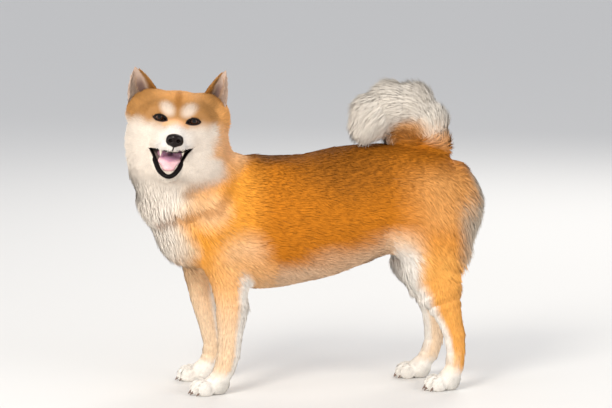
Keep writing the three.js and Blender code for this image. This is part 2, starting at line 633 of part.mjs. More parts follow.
// Legs, from the paw up
for (const [name, leg] of Object.entries(LEGS)) {
  const side = Math.sign(leg.paw[1]);
  const reach = side < 0 ? [-130, -14] : [14, 130];
  const [from, to] = leg.front ? [-235, -70] : [116, 330];
  addNode(`${name}_paw`, body, range([from, to], reach, [GROUND, 35]), 7.8, 'pale', { add: claws(leg) });
  if (leg.front) {
    addNode(`${name}_pastern`, body, range([from, to], reach, [35, 78]), 10.5, 'pale');
    addNode(`${name}_upper`, body, range([from, to], reach, [78, 166]), 12, 'coat');
  } else {
    addNode(`${name}_hock`, body, range([from, to], reach, [35, 106]), 10.5, 'pale');
    addNode(`${name}_shin`, rear, range([from, to], reach, [106, 204]), 14, 'coat');
    const hip = side < 0 ? [-130, -26] : [26, 130];
    addNode(`${name}_thigh`, rear, range([from, to], hip, [204, 335]), 20, 'coat', { locks: breeches });
  }
}

// Trunk
addNode('neck', body, behind([-180, 0, 341], [0.63, 0, -0.776], 400, 260), 20, 'coat',
  { locks: ruffLocks });
addNode('chest', body, range([-330, -60], [-140, 140], [60, 520]), 22, 'coat', { locks: ruffLocks });
addNode('barrel', rear, range([-60, 95], [-140, 140], [60, 520]), 24, 'coat', { locks: bellyLocks });
addNode('rump', rear, range([95, 340], [-140, 140], [60, 520]), 22, 'coat',
  { locks: [...breeches, ...bellyLocks] });

const group = new THREE.Group();
for (const { name, solid, colour } of nodes) {
  const mesh = solid.getMesh();
  const geometry = new THREE.BufferGeometry();
  geometry.setAttribute('position', new THREE.BufferAttribute(mesh.vertProperties, 3));
  geometry.setIndex(new THREE.BufferAttribute(mesh.triVerts, 1));
  geometry.computeVertexNormals();
  const material = new THREE.MeshStandardMaterial({ color: COLOURS[colour], roughness: 0.85 });
  const part = new THREE.Mesh(geometry, material);
  part.name = name;
  group.add(part);
}

// The origin is the middle of the footprint, on the ground.
const bounds = new THREE.Box3().setFromObject(group);
const middle = bounds.getCenter(new THREE.Vector3());
for (const part of group.children) part.geometry.translate(-middle.x, -middle.y, -GROUND);
export default group;
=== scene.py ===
"""The looks of a shiba inu that stands with its head turned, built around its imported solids.

Sizes are millimetres in the dog's own frame until a mesh is made: it faces -X and its left side is -Y.
One skin covers all the flesh. Over it lies the coat, tufts of solid mesh that follow its lie.
"""
import math

import bmesh
import bpy
import numpy as np
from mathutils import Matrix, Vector


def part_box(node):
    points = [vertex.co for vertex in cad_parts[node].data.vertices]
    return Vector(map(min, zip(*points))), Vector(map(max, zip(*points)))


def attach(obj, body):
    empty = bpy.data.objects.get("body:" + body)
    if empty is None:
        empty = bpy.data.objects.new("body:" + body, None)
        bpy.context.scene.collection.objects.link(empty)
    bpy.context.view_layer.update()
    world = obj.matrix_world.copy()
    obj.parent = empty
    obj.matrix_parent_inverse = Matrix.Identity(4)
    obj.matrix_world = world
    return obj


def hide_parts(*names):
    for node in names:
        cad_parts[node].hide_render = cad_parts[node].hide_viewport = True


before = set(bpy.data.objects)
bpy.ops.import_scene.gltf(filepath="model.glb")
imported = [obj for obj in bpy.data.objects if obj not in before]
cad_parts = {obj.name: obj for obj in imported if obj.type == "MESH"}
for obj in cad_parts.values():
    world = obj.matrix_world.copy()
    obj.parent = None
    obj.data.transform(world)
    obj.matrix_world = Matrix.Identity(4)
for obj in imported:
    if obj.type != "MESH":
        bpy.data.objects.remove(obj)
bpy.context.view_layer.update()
rng = np.random.default_rng(7)

# Driving sizes
MM = 0.001
GROUND = 3
FLOOR_GAP = 0.3
WITHERS = 395
HEAD_AT = np.array((-213.0, -35.0, 437.0))
HEAD_REACH = 110
EYE_RADIUS = 10.8
EYES = {"eye_right": (-29, -36, 15), "eye_left": (27, -36, 13)}
NOSE_AT = np.array((1.0, -91.0, -21.0))
BODY_CELL = 3.2
NOSE_CELL = 0.8
TONGUE_CELL = 1.2
TUFTS = 158000
TUFTS_A_PIECE = 21500
EAR_TUFTS = 5200

# The camera stands four metres from the dog, a little above it and to its front.
CAMERA = {"lens": 142.6, "sensor": 36, "distance": 4.0, "azimuth": -4.5, "elevation": 7,
          "aim": (-0.0018, 0.022, 0.303)}


# Turns and frames
def turned(pitch=0, roll=0, yaw=0):
    a, b, c = (math.radians(v) for v in (pitch, roll, yaw))
    about_x = np.array([[1, 0, 0], [0, math.cos(a), -math.sin(a)], [0, math.sin(a), math.cos(a)]])
    about_y = np.array([[math.cos(b), 0, math.sin(b)], [0, 1, 0], [-math.sin(b), 0, math.cos(b)]])
    about_z = np.array([[math.cos(c), -math.sin(c), 0], [math.sin(c), math.cos(c), 0], [0, 0, 1]])
    return about_z @ about_x @ about_y


HEAD_TURN = turned(-5.5, 5.5, -3)


def to_head(p):
    return (p - HEAD_AT) @ HEAD_TURN


def from_head(p):
    return np.asarray(p, float) @ HEAD_TURN.T + HEAD_AT


def node_middle(name):
    low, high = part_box(name)
    return (np.array(low) + np.array(high)) / 2 / MM


SHIFT = node_middle("eye_right") - from_head(EYES["eye_right"])


# Fields: each is a function of points that is negative inside the shape.
def smooth_min(a, b, k):
    h = np.maximum(k - np.abs(a - b), 0) / k
    return np.minimum(a, b) - h * h * k / 4


def blend(k, *parts):
    def field(p):
        d = parts[0](p)
        for part in parts[1:]:
            d = smooth_min(d, part(p), k)
        return d
    return field


def carve(k, body, *hollows):
    def field(p):
        d = body(p)
        for hollow in hollows:
            d = -smooth_min(-d, hollow(p), k)
        return d
    return field


def ellipsoid(centre, radii):
    centre, radii = np.array(centre, np.float32), np.array(radii, np.float32)

    def field(p):
        q = (p - centre) / radii
        near = np.sqrt((q * q).sum(1))
        slope = np.sqrt(((q / radii) ** 2).sum(1)) + 1e-6
        return near * (near - 1) / slope
    return field


def limb(stations, k=6, along_x=False):
    def field(p):
        d = None
        for one, two in zip(stations, stations[1:]):
            a, b = np.array(one[:3], np.float32), np.array(two[:3], np.float32)
            u = b - a
            t = np.clip((p - a) @ u / (u @ u), 0, 1)
            r = one[3] + (two[3] - one[3]) * t
            side = (one[-1] + (two[-1] - one[-1]) * t) / r
            q = p - a - u * t[:, None]
            q[:, 0 if along_x else 1] /= side
            part = (np.sqrt((q * q).sum(1)) - r) * np.minimum(1, side)
            d = part if d is None else smooth_min(d, part, k)
        return d
    return field


def smooth_curve(knots, values, samples=240):
    """A smooth curve through values at knots, as a function"""
    knots, values = np.array(knots, float), np.array(values, float)
    slopes = np.gradient(values, knots, axis=0)
    x = np.linspace(knots[0], knots[-1], samples)
    i = np.clip(np.searchsorted(knots, x) - 1, 0, len(knots) - 2)
    width = knots[i + 1] - knots[i]
    t = ((x - knots[i]) / width)[:, None]
    width = width[:, None]
    y = ((1 + 2 * t) * (1 - t) ** 2 * values[i] + t * (1 - t) ** 2 * width * slopes[i]
         + t * t * (3 - 2 * t) * values[i + 1] + t * t * (t - 1) * width * slopes[i + 1])
    return lambda at: np.stack([np.interp(at, x, column) for column in y.T], -1)


TORSO = [(-180, 352, 212, 60), (-150, 374, 180, 76), (-105, 392, 166, 86), (-60, WITHERS - 4, 165, 91),
         (-10, 392, 173, 92), (40, 402, 184, 88), (90, 408, 203, 80), (130, 409, 219, 76),
         (180, 405, 226, 78), (215, 396, 230, 72), (240, 383, 240, 58)]
torso_at = smooth_curve([s[0] for s in TORSO], [s[1:] for s in TORSO])


def torso(p, cap=46, squareness=2.3):
    at = np.clip(p[:, 0], TORSO[0][0], TORSO[-1][0])
    top, bottom, width = torso_at(at).T
    height = (top - bottom) / 2
    size = np.minimum(width, height)
    across = np.abs(p[:, 1]) / width
    up = np.abs(p[:, 2] - (top + bottom) / 2) / height
    ring = (across ** squareness + up ** squareness) ** (1 / squareness)
    return np.hypot(ring * size, (p[:, 0] - at) * size / cap) - size


def belly_line(x):
    return torso_at(np.clip(x, TORSO[0][0], TORSO[-1][0]))[:, 1]


def in_frame(at, turn, field):
    return lambda p: field(((p - np.array(at)) @ turn).astype(np.float32))


def mirrored(field):
    return lambda p: field(np.stack([np.abs(p[:, 0]), p[:, 1], p[:, 2]], 1))


def only_near(field, low, high, far=400.0, room=34):
    """The field inside a box, and a large value outside it, to save time"""
    low, high = np.array(low) - room, np.array(high) + room

    def limited(p):
        d = np.full(len(p), far, np.float32)
        near = np.all((p > low) & (p < high), axis=1)
        if near.any():
            d[near] = field(p[near])
        return d
    return limited


# The masses of the body, as the solids have them
breast = ellipsoid((-188, 0, 265), (62, 57, 60))
neck = limb([(-150, 0, 290, 80, 76), (-196, -8, 338, 84, 74), (-209, -20, 385, 77, 72),
             (-212, -28, 415, 70, 68)], 20)
ruff = ellipsoid((-214, -30, 372), (77, 66, 46))
skull = ellipsoid((0, 16, 12), (72, 60, 51))
cheeks = mirrored(ellipsoid((43, 14, -20), (38, 44, 44)))
ear_roots = mirrored(ellipsoid((56, 26, 24), (26, 24, 22)))
brows = mirrored(ellipsoid((27, -26, 27), (17, 14, 10)))
bridge = limb([(0, -20, 4, 20, 19), (0, -62, -8, 12, 12)], 6, True)
muzzle = limb([(0, -18, -15, 27, 38), (0, -50, -19, 19, 28), (0, -80, -23, 12.5, 15)], 6, True)
jaw = limb([(-2, 0, -46, 22, 34), (-3, -36, -58, 15, 28), (-4, -67, -80, 10, 15)], 6, True)
face_mass = blend(12, blend(20, skull, cheeks, ear_roots), brows, blend(9, muzzle, bridge, jaw))
head = only_near(in_frame(HEAD_AT, HEAD_TURN, face_mass), (-310, -150, 320), (-110, 70, 520))

LEGS = {
    "foreleg_left": {
        "stations": [(-148, -44, 270, 46, 38), (-131, -54, 185, 33, 29), (-126, -59, 152, 28, 25),
                     (-129, -61, 100, 21.5, 20), (-131, -62, 70, 19.5, 18.5), (-137, -63, 48, 18.5, 18.5),
                     (-145, -64, 30, 17, 20)],
        "paw": (-159, -63, 15), "yaw": 12, "size": 1},
    "foreleg_right": {
        "stations": [(-178, 40, 270, 46, 38), (-174, 48, 190, 32, 28), (-168, 52, 152, 25.5, 23),
                     (-157, 55, 100, 20.5, 19.5), (-151, 56, 68, 18.5, 18), (-154, 57, 46, 17.5, 18),
                     (-162, 57, 30, 16, 19)],
        "paw": (-177, 57, 15), "yaw": -8, "size": 1},
    "hindleg_left": {
        "stations": [(212, -38, 300, 60, 44), (203, -45, 250, 66, 42), (200, -50, 208, 54, 35),
                     (216, -54, 172, 40, 29), (223, -56, 148, 30, 22), (233, -57, 118, 21.5, 18),
                     (240, -57, 96, 19, 16.5), (243, -57, 68, 16.5, 15.5), (241, -57, 42, 16, 17),
                     (236, -58, 28, 16, 19)],
        "paw": (224, -57, 15), "yaw": 8, "size": 0.92},
    "hindleg_right": {
        "stations": [(208, 38, 300, 60, 44), (196, 45, 250, 62, 42), (190, 48, 208, 49, 35),
                     (205, 51, 172, 36, 27), (212, 52, 148, 27, 21), (219, 53, 118, 20.5, 17.5),
                     (221, 53, 95, 18.5, 16.5), (221, 54, 68, 16.5, 15.5), (214, 54, 44, 16, 17),
                     (203, 54, 28, 15, 19)],
        "paw": (189, 54, 15), "yaw": -6, "size": 0.92},
}
TOES = [(-14, -17), (-22, -6.2), (-22, 6.2), (-14, 17)]


def paw_field(leg):
    s = leg["size"]
    toes = blend(2.2, *[ellipsoid((x * s, y * s, -2), (14 * s, 7.8 * s, 15.5)) for x, y in TOES])
    palm = ellipsoid((6, 0, 2), (23 * s, 20 * s, 19))
    return in_frame(leg["paw"], turned(yaw=leg["yaw"]), blend(5, palm, toes))


def leg_field(leg):
    points = np.array([s[:3] for s in leg["stations"]] + [leg["paw"]])
    room = max(s[3] for s in leg["stations"])
    whole = blend(8, limb(leg["stations"], 0.5), paw_field(leg))
    return only_near(whole, points.min(0) - room, points.max(0) + room)


legs = [leg_field(leg) for leg in LEGS.values()]
trunk = blend(26, torso, breast, blend(24, neck, ruff))
body = blend(22, blend(20, trunk, head), *legs)

TAIL = [(212, 4, 372, 31), (213, 3, 402, 27), (205, 0, 436, 31), (178, -3, 465, 38),
        (142, -7, 470, 40), (113, -12, 456, 38), (102, -15, 442, 31)]
TAIL_ROOT = 0.72
TAIL_CORE = 0.68
tail_sizes = [TAIL_ROOT, TAIL_ROOT] + [TAIL_CORE] * (len(TAIL) - 2)
tail_limb = limb([(x, y, z, r * size) for (x, y, z, r), size in zip(TAIL, tail_sizes)], 8)
tail_fill = ellipsoid((165, -4, 436), (36, 14, 34))
tail_core = only_near(blend(16, tail_limb, tail_fill), (60, -70, 330), (270, 80, 530))
tail_curve = smooth_curve(range(len(TAIL)), TAIL)


# Regions: smooth steps from 0 to 1, and from 1 to 0
def soft(v, start, end):
    t = np.clip((v - start) / (end - start), 0, 1)
    return t * t * (3 - 2 * t)


def fade(v, start, end):
    return 1 - soft(v, start, end)


def spot(q, centre, radii):
    """1 at a centre, falling to 0 at an ellipsoid's surface"""
    return fade(np.sqrt((((q - np.array(centre)) / np.array(radii)) ** 2).sum(1)), 0.25, 1)


def within(v, reach):
    return np.all(np.abs(v) < reach, axis=1)


def headness(p):
    """1 on the head, 0 from the neck back"""
    q = to_head(p)
    down_neck = 0.45 * q[:, 1] - 0.9 * q[:, 2]
    return fade(down_neck, 44, 76) * fade(np.sqrt((q * q).sum(1)), 108, 132)


def tailness(p):
    return soft(body(p) - tail_core(p), -2, 10) * soft(p[:, 2], 385, 412)


# How far the skin lies under the outline of the coat, and how much more or less by place
COAT_DEPTH = 5.0
HEAD_DEPTH = 3.6
DEEPER = {"chest": 2.5, "leg": -3.4, "paw": -0.2, "face": -2.0}


def coat_depth(p):
    depth = np.full(len(p), COAT_DEPTH)
    depth += DEEPER["chest"] * soft(-p[:, 0], 150, 220) * soft(p[:, 2], 190, 240)
    depth += DEEPER["leg"] * soft(-p[:, 2], -190, -130)
    depth += DEEPER["paw"] * soft(-p[:, 2], -55, -32)
    face = HEAD_DEPTH + DEEPER["face"] * soft(-to_head(p)[:, 1], -4, 34)
    return depth + (face - depth) * headness(p)


# The mouth: a wedge opened forward from its corners, and a throat
MOUTH_BACK = np.array((-3.5, -33.0, -30.0))
LIP_DROP = 2.2
UPPER_LIP = [(-41, -35, -34), (-31, -52, -35), (-18, -74, -35 - LIP_DROP), (-2, -88, -38 - LIP_DROP),
             (15, -74, -36 - LIP_DROP), (26, -54, -31), (35, -37, -25)]
LOWER_LIP = [(-41, -35, -35), (-34, -44, -46), (-27, -56, -58), (-21, -67, -69), (-13, -76, -76),
             (-5, -80, -79), (3, -77, -76), (10, -68, -67), (15, -58, -56), (23, -47, -40), (35, -37, -25)]
MOUTH_TURN = turned(roll=-7.5)

# How far out the lower lip is on each side at each depth, from a corner of the mouth to the chin
RIGHT_LIP = np.array([(-z, x) for x, _, z in LOWER_LIP[:6]]).T
LEFT_LIP = np.array([(-z, x) for x, _, z in LOWER_LIP[:4:-1]]).T


def wedge(q):
    m = (q - MOUTH_BACK) @ MOUTH_TURN
    top = (m[:, 2] - m[:, 1] * 9 / 84 + LIP_DROP * soft(-m[:, 1], 10, 35)) / 1.006
    bottom = (m[:, 1] - m[:, 2]) / 1.414
    sides = np.maximum(np.interp(-q[:, 2], *RIGHT_LIP) - q[:, 0], q[:, 0] - np.interp(-q[:, 2], *LEFT_LIP))
    return np.maximum(np.maximum(top, bottom), sides * 0.8)


throat = ellipsoid((-3, -30, -40), (20, 24, 12))

# Eyes: the opening of the lids is a pointed oval on the ball.
LID_HALF = np.array((9.9, 4.3))
LID_DROP = {"eye_right": (2.6, 0, -2.6), "eye_left": (0, 0, -2.2)}
LID_SLANT = 7
LID_THICK = 1.6
LID_GAP = 0.1
OVAL = 1.6


def eye_turn(name):
    return turned(roll=-LID_SLANT * np.sign(EYES[name][0]))


def to_eye(q, name):
    return (q - np.array(EYES[name]) - LID_DROP[name]) @ eye_turn(name)


def from_eye(e, name):
    return np.asarray(e) @ eye_turn(name).T + np.array(EYES[name]) + LID_DROP[name]


def lid_height(z):
    """Half the height of an eye's opening: the upper lid arches more than the lower"""
    return LID_HALF[1] * np.where(z > 0, 1.28, 0.84)


def lid_opening(name, grow=0.0):
    def field(q):
        e = to_eye(q, name)
        across = np.abs(e[:, 0]) / (LID_HALF[0] + grow)
        up = np.abs(e[:, 2]) / (lid_height(e[:, 2]) + grow)
        ring = (across ** OVAL + up ** OVAL) ** (1 / OVAL)
        return np.maximum((ring - 1) * LID_HALF[1], e[:, 1])
    return field


crown = mirrored(blend(8, ellipsoid((44, 20, 44), (20, 22, 15)), ellipsoid((66, 20, 26), (13, 18, 22))))
lip_flesh = limb([(x * 0.97, y + 3, z + 5, 5.2, 5.2) for x, y, z in UPPER_LIP[1:-1]], 4)


def lidded(q, d):
    """The head with the roots of its ears, its upper lip, and lids that swell over the eyes"""
    d = smooth_min(d, crown(q), 14)
    d = smooth_min(d, lip_flesh(q), 7)
    for name, at in EYES.items():
        d = smooth_min(d, ellipsoid(at, (EYE_RADIUS + LID_THICK,) * 3)(q), 4)
    return d


def face_field(q, d):
    """The openings of the head: eyes and mouth"""
    d = lidded(q, d)
    for name, at in EYES.items():
        d = -smooth_min(-d, lid_opening(name)(q), 1.0)
        ball = ellipsoid(at, (EYE_RADIUS + LID_GAP,) * 3)(q)
        d = np.maximum(d, -np.maximum(ball, lid_opening(name, 2.0)(q)))
    d = -smooth_min(-d, wedge(q), 2.5)
    return -smooth_min(-d, throat(q), 3)


def skin_field(p):
    p = p.astype(np.float32)
    d = smooth_min((body(p) + coat_depth(p)).astype(np.float32), tail_core(p), 16)
    near = within(p - HEAD_AT, (HEAD_REACH, HEAD_REACH + 10, HEAD_REACH))
    if near.any():
        d[near] = face_field(to_head(p[near]), d[near])
    return np.maximum(d, GROUND + FLOOR_GAP - p[:, 2])


# Meshing
def surface_net(field, low, high, cell):
    """One vertex in each grid cell that the surface crosses, and a quad for each crossed edge"""
    axes = [np.arange(a, b + cell, cell, dtype=np.float32) for a, b in zip(low, high)]
    shape = [len(a) for a in axes]
    values = np.empty(shape, np.float32)
    plane = np.stack(np.meshgrid(axes[1], axes[2], indexing="ij"), -1).reshape(-1, 2)
    for i, x in enumerate(axes[0]):
        points = np.concatenate([np.full((len(plane), 1), x, np.float32), plane], 1)
        values[i] = field(points).reshape(shape[1:])
    inside = values < 0
    n = [s - 1 for s in shape]
    steps = np.array([(c & 1, c >> 1 & 1, c >> 2 & 1) for c in range(8)])
    held = sum(inside[a:a + n[0], b:b + n[1], c:c + n[2]].astype(np.int8) for a, b, c in steps)
    cells = np.argwhere((held > 0) & (held < 8))
    corner = [values[tuple((cells + s).T)] for s in steps]
    total = np.zeros((len(cells), 3))
    crossings = np.zeros(len(cells))
    for a in range(8):
        for bit in (1, 2, 4):
            if a & bit:
                continue
            b = a | bit
            hit = (corner[a] < 0) != (corner[b] < 0)
            t = corner[a] / np.where(hit, corner[a] - corner[b], 1)
            total += hit[:, None] * (steps[a] + t[:, None] * (steps[b] - steps[a]))
            crossings += hit
    points = np.array(low) + (cells + total / crossings[:, None]) * cell
    number = np.full(n, -1)
    number[tuple(cells.T)] = np.arange(len(cells))
    quads = []
    unit = np.eye(3, dtype=int)
    for axis in range(3):
        u, v = unit[(axis + 1) % 3], unit[(axis + 2) % 3]
        there = np.roll(inside, -1, axis)
        changed = inside != there
        changed[tuple(slice(-1, None) if k == axis else slice(None) for k in range(3))] = False
        at = np.argwhere(changed)
        at = at[np.all(at - u - v >= 0, axis=1) & np.all(at < np.array(n), axis=1)]
        quad = np.stack([number[tuple((at - du * u - dv * v).T)]
                         for du, dv in ((0, 0), (1, 0), (1, 1), (0, 1))], 1)
        flip = ~inside[tuple(at.T)]
        quad[flip] = quad[flip][:, ::-1]
        quads.append(quad)
    quads = np.concatenate(quads)
    return points, quads[np.all(quads >= 0, axis=1)]


def gradient(field, points, reach=0.4):
    slope = np.empty_like(points)
    for axis in range(3):
        step = np.zeros(3)
        step[axis] = reach
        slope[:, axis] = (field(points + step) - field(points - step)) / (2 * reach)
    return slope


def settle(points, field, limit, rounds=2):
    start = points.copy()
    for _ in range(rounds):
        slope = gradient(field, points)
        size = np.maximum((slope ** 2).sum(1), 0.3)
        points = points - (field(points) / size)[:, None] * slope
        points = np.clip(points, start - limit, start + limit)
    return points


def meshed(field, low, high, cell):
    points, faces = surface_net(field, low, high, cell)
    return settle(points, field, cell / 2), faces


def unit_rows(v):
    return v / (np.linalg.norm(v, axis=1, keepdims=True) + 1e-9)


def grid_quads(rows, around, closed=False):
    """Quads between rows of points that each go once around"""
    quads = []
    for i in range(rows if closed else rows - 1):
        a, b = i * around, (i + 1) % rows * around
        quads += [(a + k, a + (k + 1) % around, b + (k + 1) % around, b + k) for k in range(around)]
    return quads


def end_faces(rows, around):
    return [tuple(range(around))[::-1], tuple(range((rows - 1) * around, rows * around))]


def tube(path, radii, sides=12, closed=False, flat=1.0, up=(0, -1, 0)):
    """A closed tube along points, with a radius at each; flat squeezes it along up"""
    path, radii = np.array(path, float), np.array(radii, float)
    if closed:
        along = np.roll(path, -1, 0) - np.roll(path, 1, 0)
    else:
        along = np.gradient(path, axis=0)
    along = unit_rows(along)
    side = unit_rows(np.cross(along, np.array(up, float)))
    top = np.cross(side, along)
    turn = 2 * np.pi * np.arange(sides) / sides
    ring = np.cos(turn)[None, :, None] * side[:, None] + flat * np.sin(turn)[None, :, None] * top[:, None]
    points = (path[:, None] + radii[:, None, None] * ring).reshape(-1, 3)
    quads = grid_quads(len(path), sides, closed)
    return points, quads if closed else quads + end_faces(len(path), sides)


def through(stations, count=60):
    """Points on a smooth curve through stations"""
    curve = smooth_curve(range(len(stations)), stations)
    return curve(np.linspace(0, len(stations) - 1, count))


# Making pieces
def dial(node, values):
    for socket, value in values.items():
        node.inputs[socket].default_value = value


def material(name, roughness=0.7, coat=0.0, specular=0.4, bump=0.0, grain=1.0, spread=0.12, subsurface=0.0):
    """Colour from the mesh's tint, broken up by noise of a grain in millimetres, with a fine bump"""
    made = bpy.data.materials.new(name)
    made.use_nodes = True
    nodes, links = made.node_tree.nodes, made.node_tree.links
    shader = nodes["Principled BSDF"]
    dial(shader, {"Roughness": roughness, "Coat Weight": coat, "Coat Roughness": 0.08,
                  "Specular IOR Level": specular, "Subsurface Weight": subsurface, "Subsurface Scale": 0.004})
    tint = nodes.new("ShaderNodeAttribute")
    tint.attribute_name = "tint"
    where = nodes.new("ShaderNodeTexCoord")
    noise = nodes.new("ShaderNodeTexNoise")
    dial(noise, {"Scale": 1000 / (grain * 3), "Detail": 3})
    links.new(where.outputs["Object"], noise.inputs["Vector"])
    level = nodes.new("ShaderNodeMapRange")
    dial(level, {"From Min": 0.3, "From Max": 0.7, "To Min": 1 - spread, "To Max": 1 + spread})
    links.new(noise.outputs["Fac"], level.inputs["Value"])
    scaled = nodes.new("ShaderNodeVectorMath")
    scaled.operation = "SCALE"
    links.new(tint.outputs["Color"], scaled.inputs[0])
    links.new(level.outputs["Result"], scaled.inputs["Scale"])
    links.new(scaled.outputs["Vector"], shader.inputs["Base Color"])
    if bump:
        raised = nodes.new("ShaderNodeBump")
        dial(raised, {"Strength": bump, "Distance": 0.001})
        links.new(noise.outputs["Fac"], raised.inputs["Height"])
        links.new(raised.outputs["Normal"], shader.inputs["Normal"])
    return made


def linked(name, data):
    made = bpy.data.objects.new(name, data)
    bpy.context.scene.collection.objects.link(made)
    return made


def aimed(name, data, place, way):
    """A light or camera at a place, looking along a way"""
    made = linked(name, data)
    made.location = place
    made.rotation_mode = "QUATERNION"
    made.rotation_quaternion = way.to_track_quat("-Z", "Y")
    return made


def piece(name, points, faces, finish, tints, uv=None, normals=None):
    """A mesh object from points in millimetres, riding on the body"""
    mesh = bpy.data.meshes.new(name)
    placed = (np.asarray(points) + SHIFT) * MM
    if isinstance(faces, np.ndarray):
        mesh.vertices.add(len(placed))
        mesh.vertices.foreach_set("co", placed.astype(np.float32).ravel())
        mesh.loops.add(faces.size)
        mesh.loops.foreach_set("vertex_index", faces.astype(np.int32).ravel())
        mesh.polygons.add(len(faces))
        mesh.polygons.foreach_set("loop_start", np.arange(0, faces.size, faces.shape[1], dtype=np.int32))
        mesh.update(calc_edges=True)
    else:
        mesh.from_pydata(placed.tolist(), [], [tuple(int(i) for i in f) for f in faces])
    mesh.polygons.foreach_set("use_smooth", np.ones(len(mesh.polygons), bool))
    colour = mesh.color_attributes.new("tint", "FLOAT_COLOR", "POINT")
    tints = np.broadcast_to(np.asarray(tints, float), (len(placed), 3))
    colour.data.foreach_set("color", np.concatenate([tints, np.ones((len(placed), 1))], 1).ravel())
    if uv is not None:
        layer = mesh.uv_layers.new(name="OFBake")
        layer.data.foreach_set("uv", uv[faces.ravel()].astype(np.float32).ravel())
    if normals is not None:
        mesh.normals_split_custom_set_from_vertices(normals.astype(np.float32))
    mesh.materials.append(finish)
    made = linked(name, mesh)
    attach(made, "root")
    return made


def joined(parts):
    """Points and faces of several (points, faces) pairs as one"""
    points, faces, start = [], [], 0
    for p, f in parts:
        points.append(np.asarray(p))
        faces += [tuple(int(i) + start for i in face) for face in f]
        start += len(p)
    return np.concatenate(points), faces


# Colours, as linear light
ORANGE = (0.56, 0.180, 0.010)
AMBER = (0.92, 0.38, 0.05)
SADDLE = (0.29, 0.095, 0.008)
SABLE = (0.11, 0.045, 0.014)
HIP = (0.80, 0.38, 0.12)
CREAM = (0.88, 0.67, 0.47)
WHITE = (0.91, 0.86, 0.79)
TAN = (0.40, 0.190, 0.057)
PEACH = (0.88, 0.46, 0.22)
THIGH = (0.95, 0.43, 0.10)
BRUSH = (0.78, 0.71, 0.62)
PALE = (0.50, 0.42, 0.33)
EAR_PALE = (0.60, 0.45, 0.36)
EAR_SKIN = (0.20, 0.115, 0.095)
FACE_WHITE = (0.77, 0.67, 0.57)
MUZZLE_WHITE = (0.82, 0.76, 0.70)
# Painted shade: the mouth's red darkened to near black for the hollow of the mouth and the gaps round the
# eyeballs
MOUTH_AND_LID_SHADE = (0.045, 0.012, 0.014)
NOSE_BLACK = (0.009, 0.005, 0.004)
RIM_BLACK = (0.012, 0.009, 0.008)
LIP_BLACK = (0.006, 0.004, 0.004)
EYE_WHITE = (0.16, 0.10, 0.075)
IRIS_EDGE = (0.012, 0.007, 0.005)
IRIS_BROWN = (0.060, 0.020, 0.007)
PUPIL_BLACK = (0.002, 0.002, 0.002)
TONGUE_PINK = (0.86, 0.50, 0.52)
TONGUE_VIOLET = (0.42, 0.20, 0.30)
# Painted shade for the root of the tongue, far inside the mouth
TONGUE_ROOT_SHADE = (0.16, 0.05, 0.09)
IVORY = (0.80, 0.72, 0.58)
HORN = (0.20, 0.13, 0.10)
FLOOR_PALE = (0.72, 0.71, 0.69, 1)
SKY_PALE = (0.93, 0.95, 1.0, 1)


def layered(base, *layers):
    """Rows of values: each layer's value covers its share of what lies below it"""
    base = np.asarray(base, float)
    for value, share in layers:
        base = base + (np.array(value) - base) * np.clip(share, 0, 1)[:, None]
    return base


def waves(p, size, seed=0):
    """Slow random waves over the body, between about -1 and 1"""
    spin = np.random.default_rng(100 + seed)
    total = np.zeros(len(p))
    for _ in range(7):
        way = spin.normal(size=3)
        way /= np.linalg.norm(way) * size * spin.uniform(0.6, 1.5) / 6.28
        total += np.sin(p @ way + spin.uniform(0, 6.28))
    return total / 3


# Painted shade: lines in side view along two folds of the coat on the neck, where the coat is darkened
NECK_FOLD_SHADE_LINES = [((-199, 339), (-154, 377), (-121, 402)), ((-245, 295), (-154, 311), (-121, 369))]


def path_gap(p, line):
    """Distance in side view from a line of points"""
    q = p[:, [0, 2]]
    gap = np.full(len(p), 1e3)
    for a, b in zip(line, line[1:]):
        a, u = np.array(a, float), np.subtract(b, a).astype(float)
        t = np.clip((q - a) @ u / (u @ u), 0, 1)
        gap = np.minimum(gap, np.linalg.norm(q - a - u * t[:, None], axis=1))
    return gap


def body_colour(p, n):
    x, y, z = p.T
    side_view = p * (1, 0, 1)
    wander = 14 * waves(p, 90, 1)
    back = soft(z + wander * 0.7, 292, 372) * soft(x, -70, 20) * (1 - 0.6 * soft(x, 80, 190))
    elbow_glow = spot(side_view, (-117, 0, 230), (62, 1, 62))
    neck_glow = spot(side_view, (-167, 0, 313), (48, 1, 48))
    withers = soft(z + wander * 0.4, 366, 396) * soft(x, -190, -120) * fade(x, 20, 90)
    patch = spot(side_view, (-66, 0, 398), (52, 1, 26))
    under = fade(z - belly_line(x) + wander * 0.7, 16, 72)
    bib = np.interp(z, (190, 240, 300, 350, 400), (-186, -188, -204, -176, -190))
    chest = soft(bib - x + wander * 0.7, -20, 18) * soft(z, 150, 190)
    # Painted shade: saddle brown along the neck's folds, on its left side only
    fold_shades = [fade(path_gap(p, line), 2, 13) for line in NECK_FOLD_SHADE_LINES]
    seat = soft(x + wander * 0.6, 232, 268) * soft(z, 150, 200) * fade(z, 345, 385)
    return layered(
        ORANGE,
        (AMBER, soft(-x, 60, 130) * 0.8),
        (SADDLE, back * 0.78),
        (CREAM, elbow_glow * 0.45),
        (CREAM, neck_glow * 0.45),
        (SADDLE, withers * 0.9),
        (SABLE, patch * 0.8),
        (HIP, soft(x, 120, 215) * soft(z, 240, 300) * fade(z, 345, 390) * 0.8),
        (THIGH, soft(x, 120, 175) * fade(z, 225, 285) * 0.9),
        (CREAM, under * 0.68 * soft(x, -110, -70) * fade(x, 150, 200)),
        (CREAM, chest * 0.95),
        (WHITE, soft(bib - x + wander * 0.5, 0, 36) * 0.7),
        *[(SADDLE, fold_shade * 0.5 * soft(-y, 0, 30)) for fold_shade in fold_shades],
        (PALE, seat * soft(n[:, 0], 0.0, 0.55)))


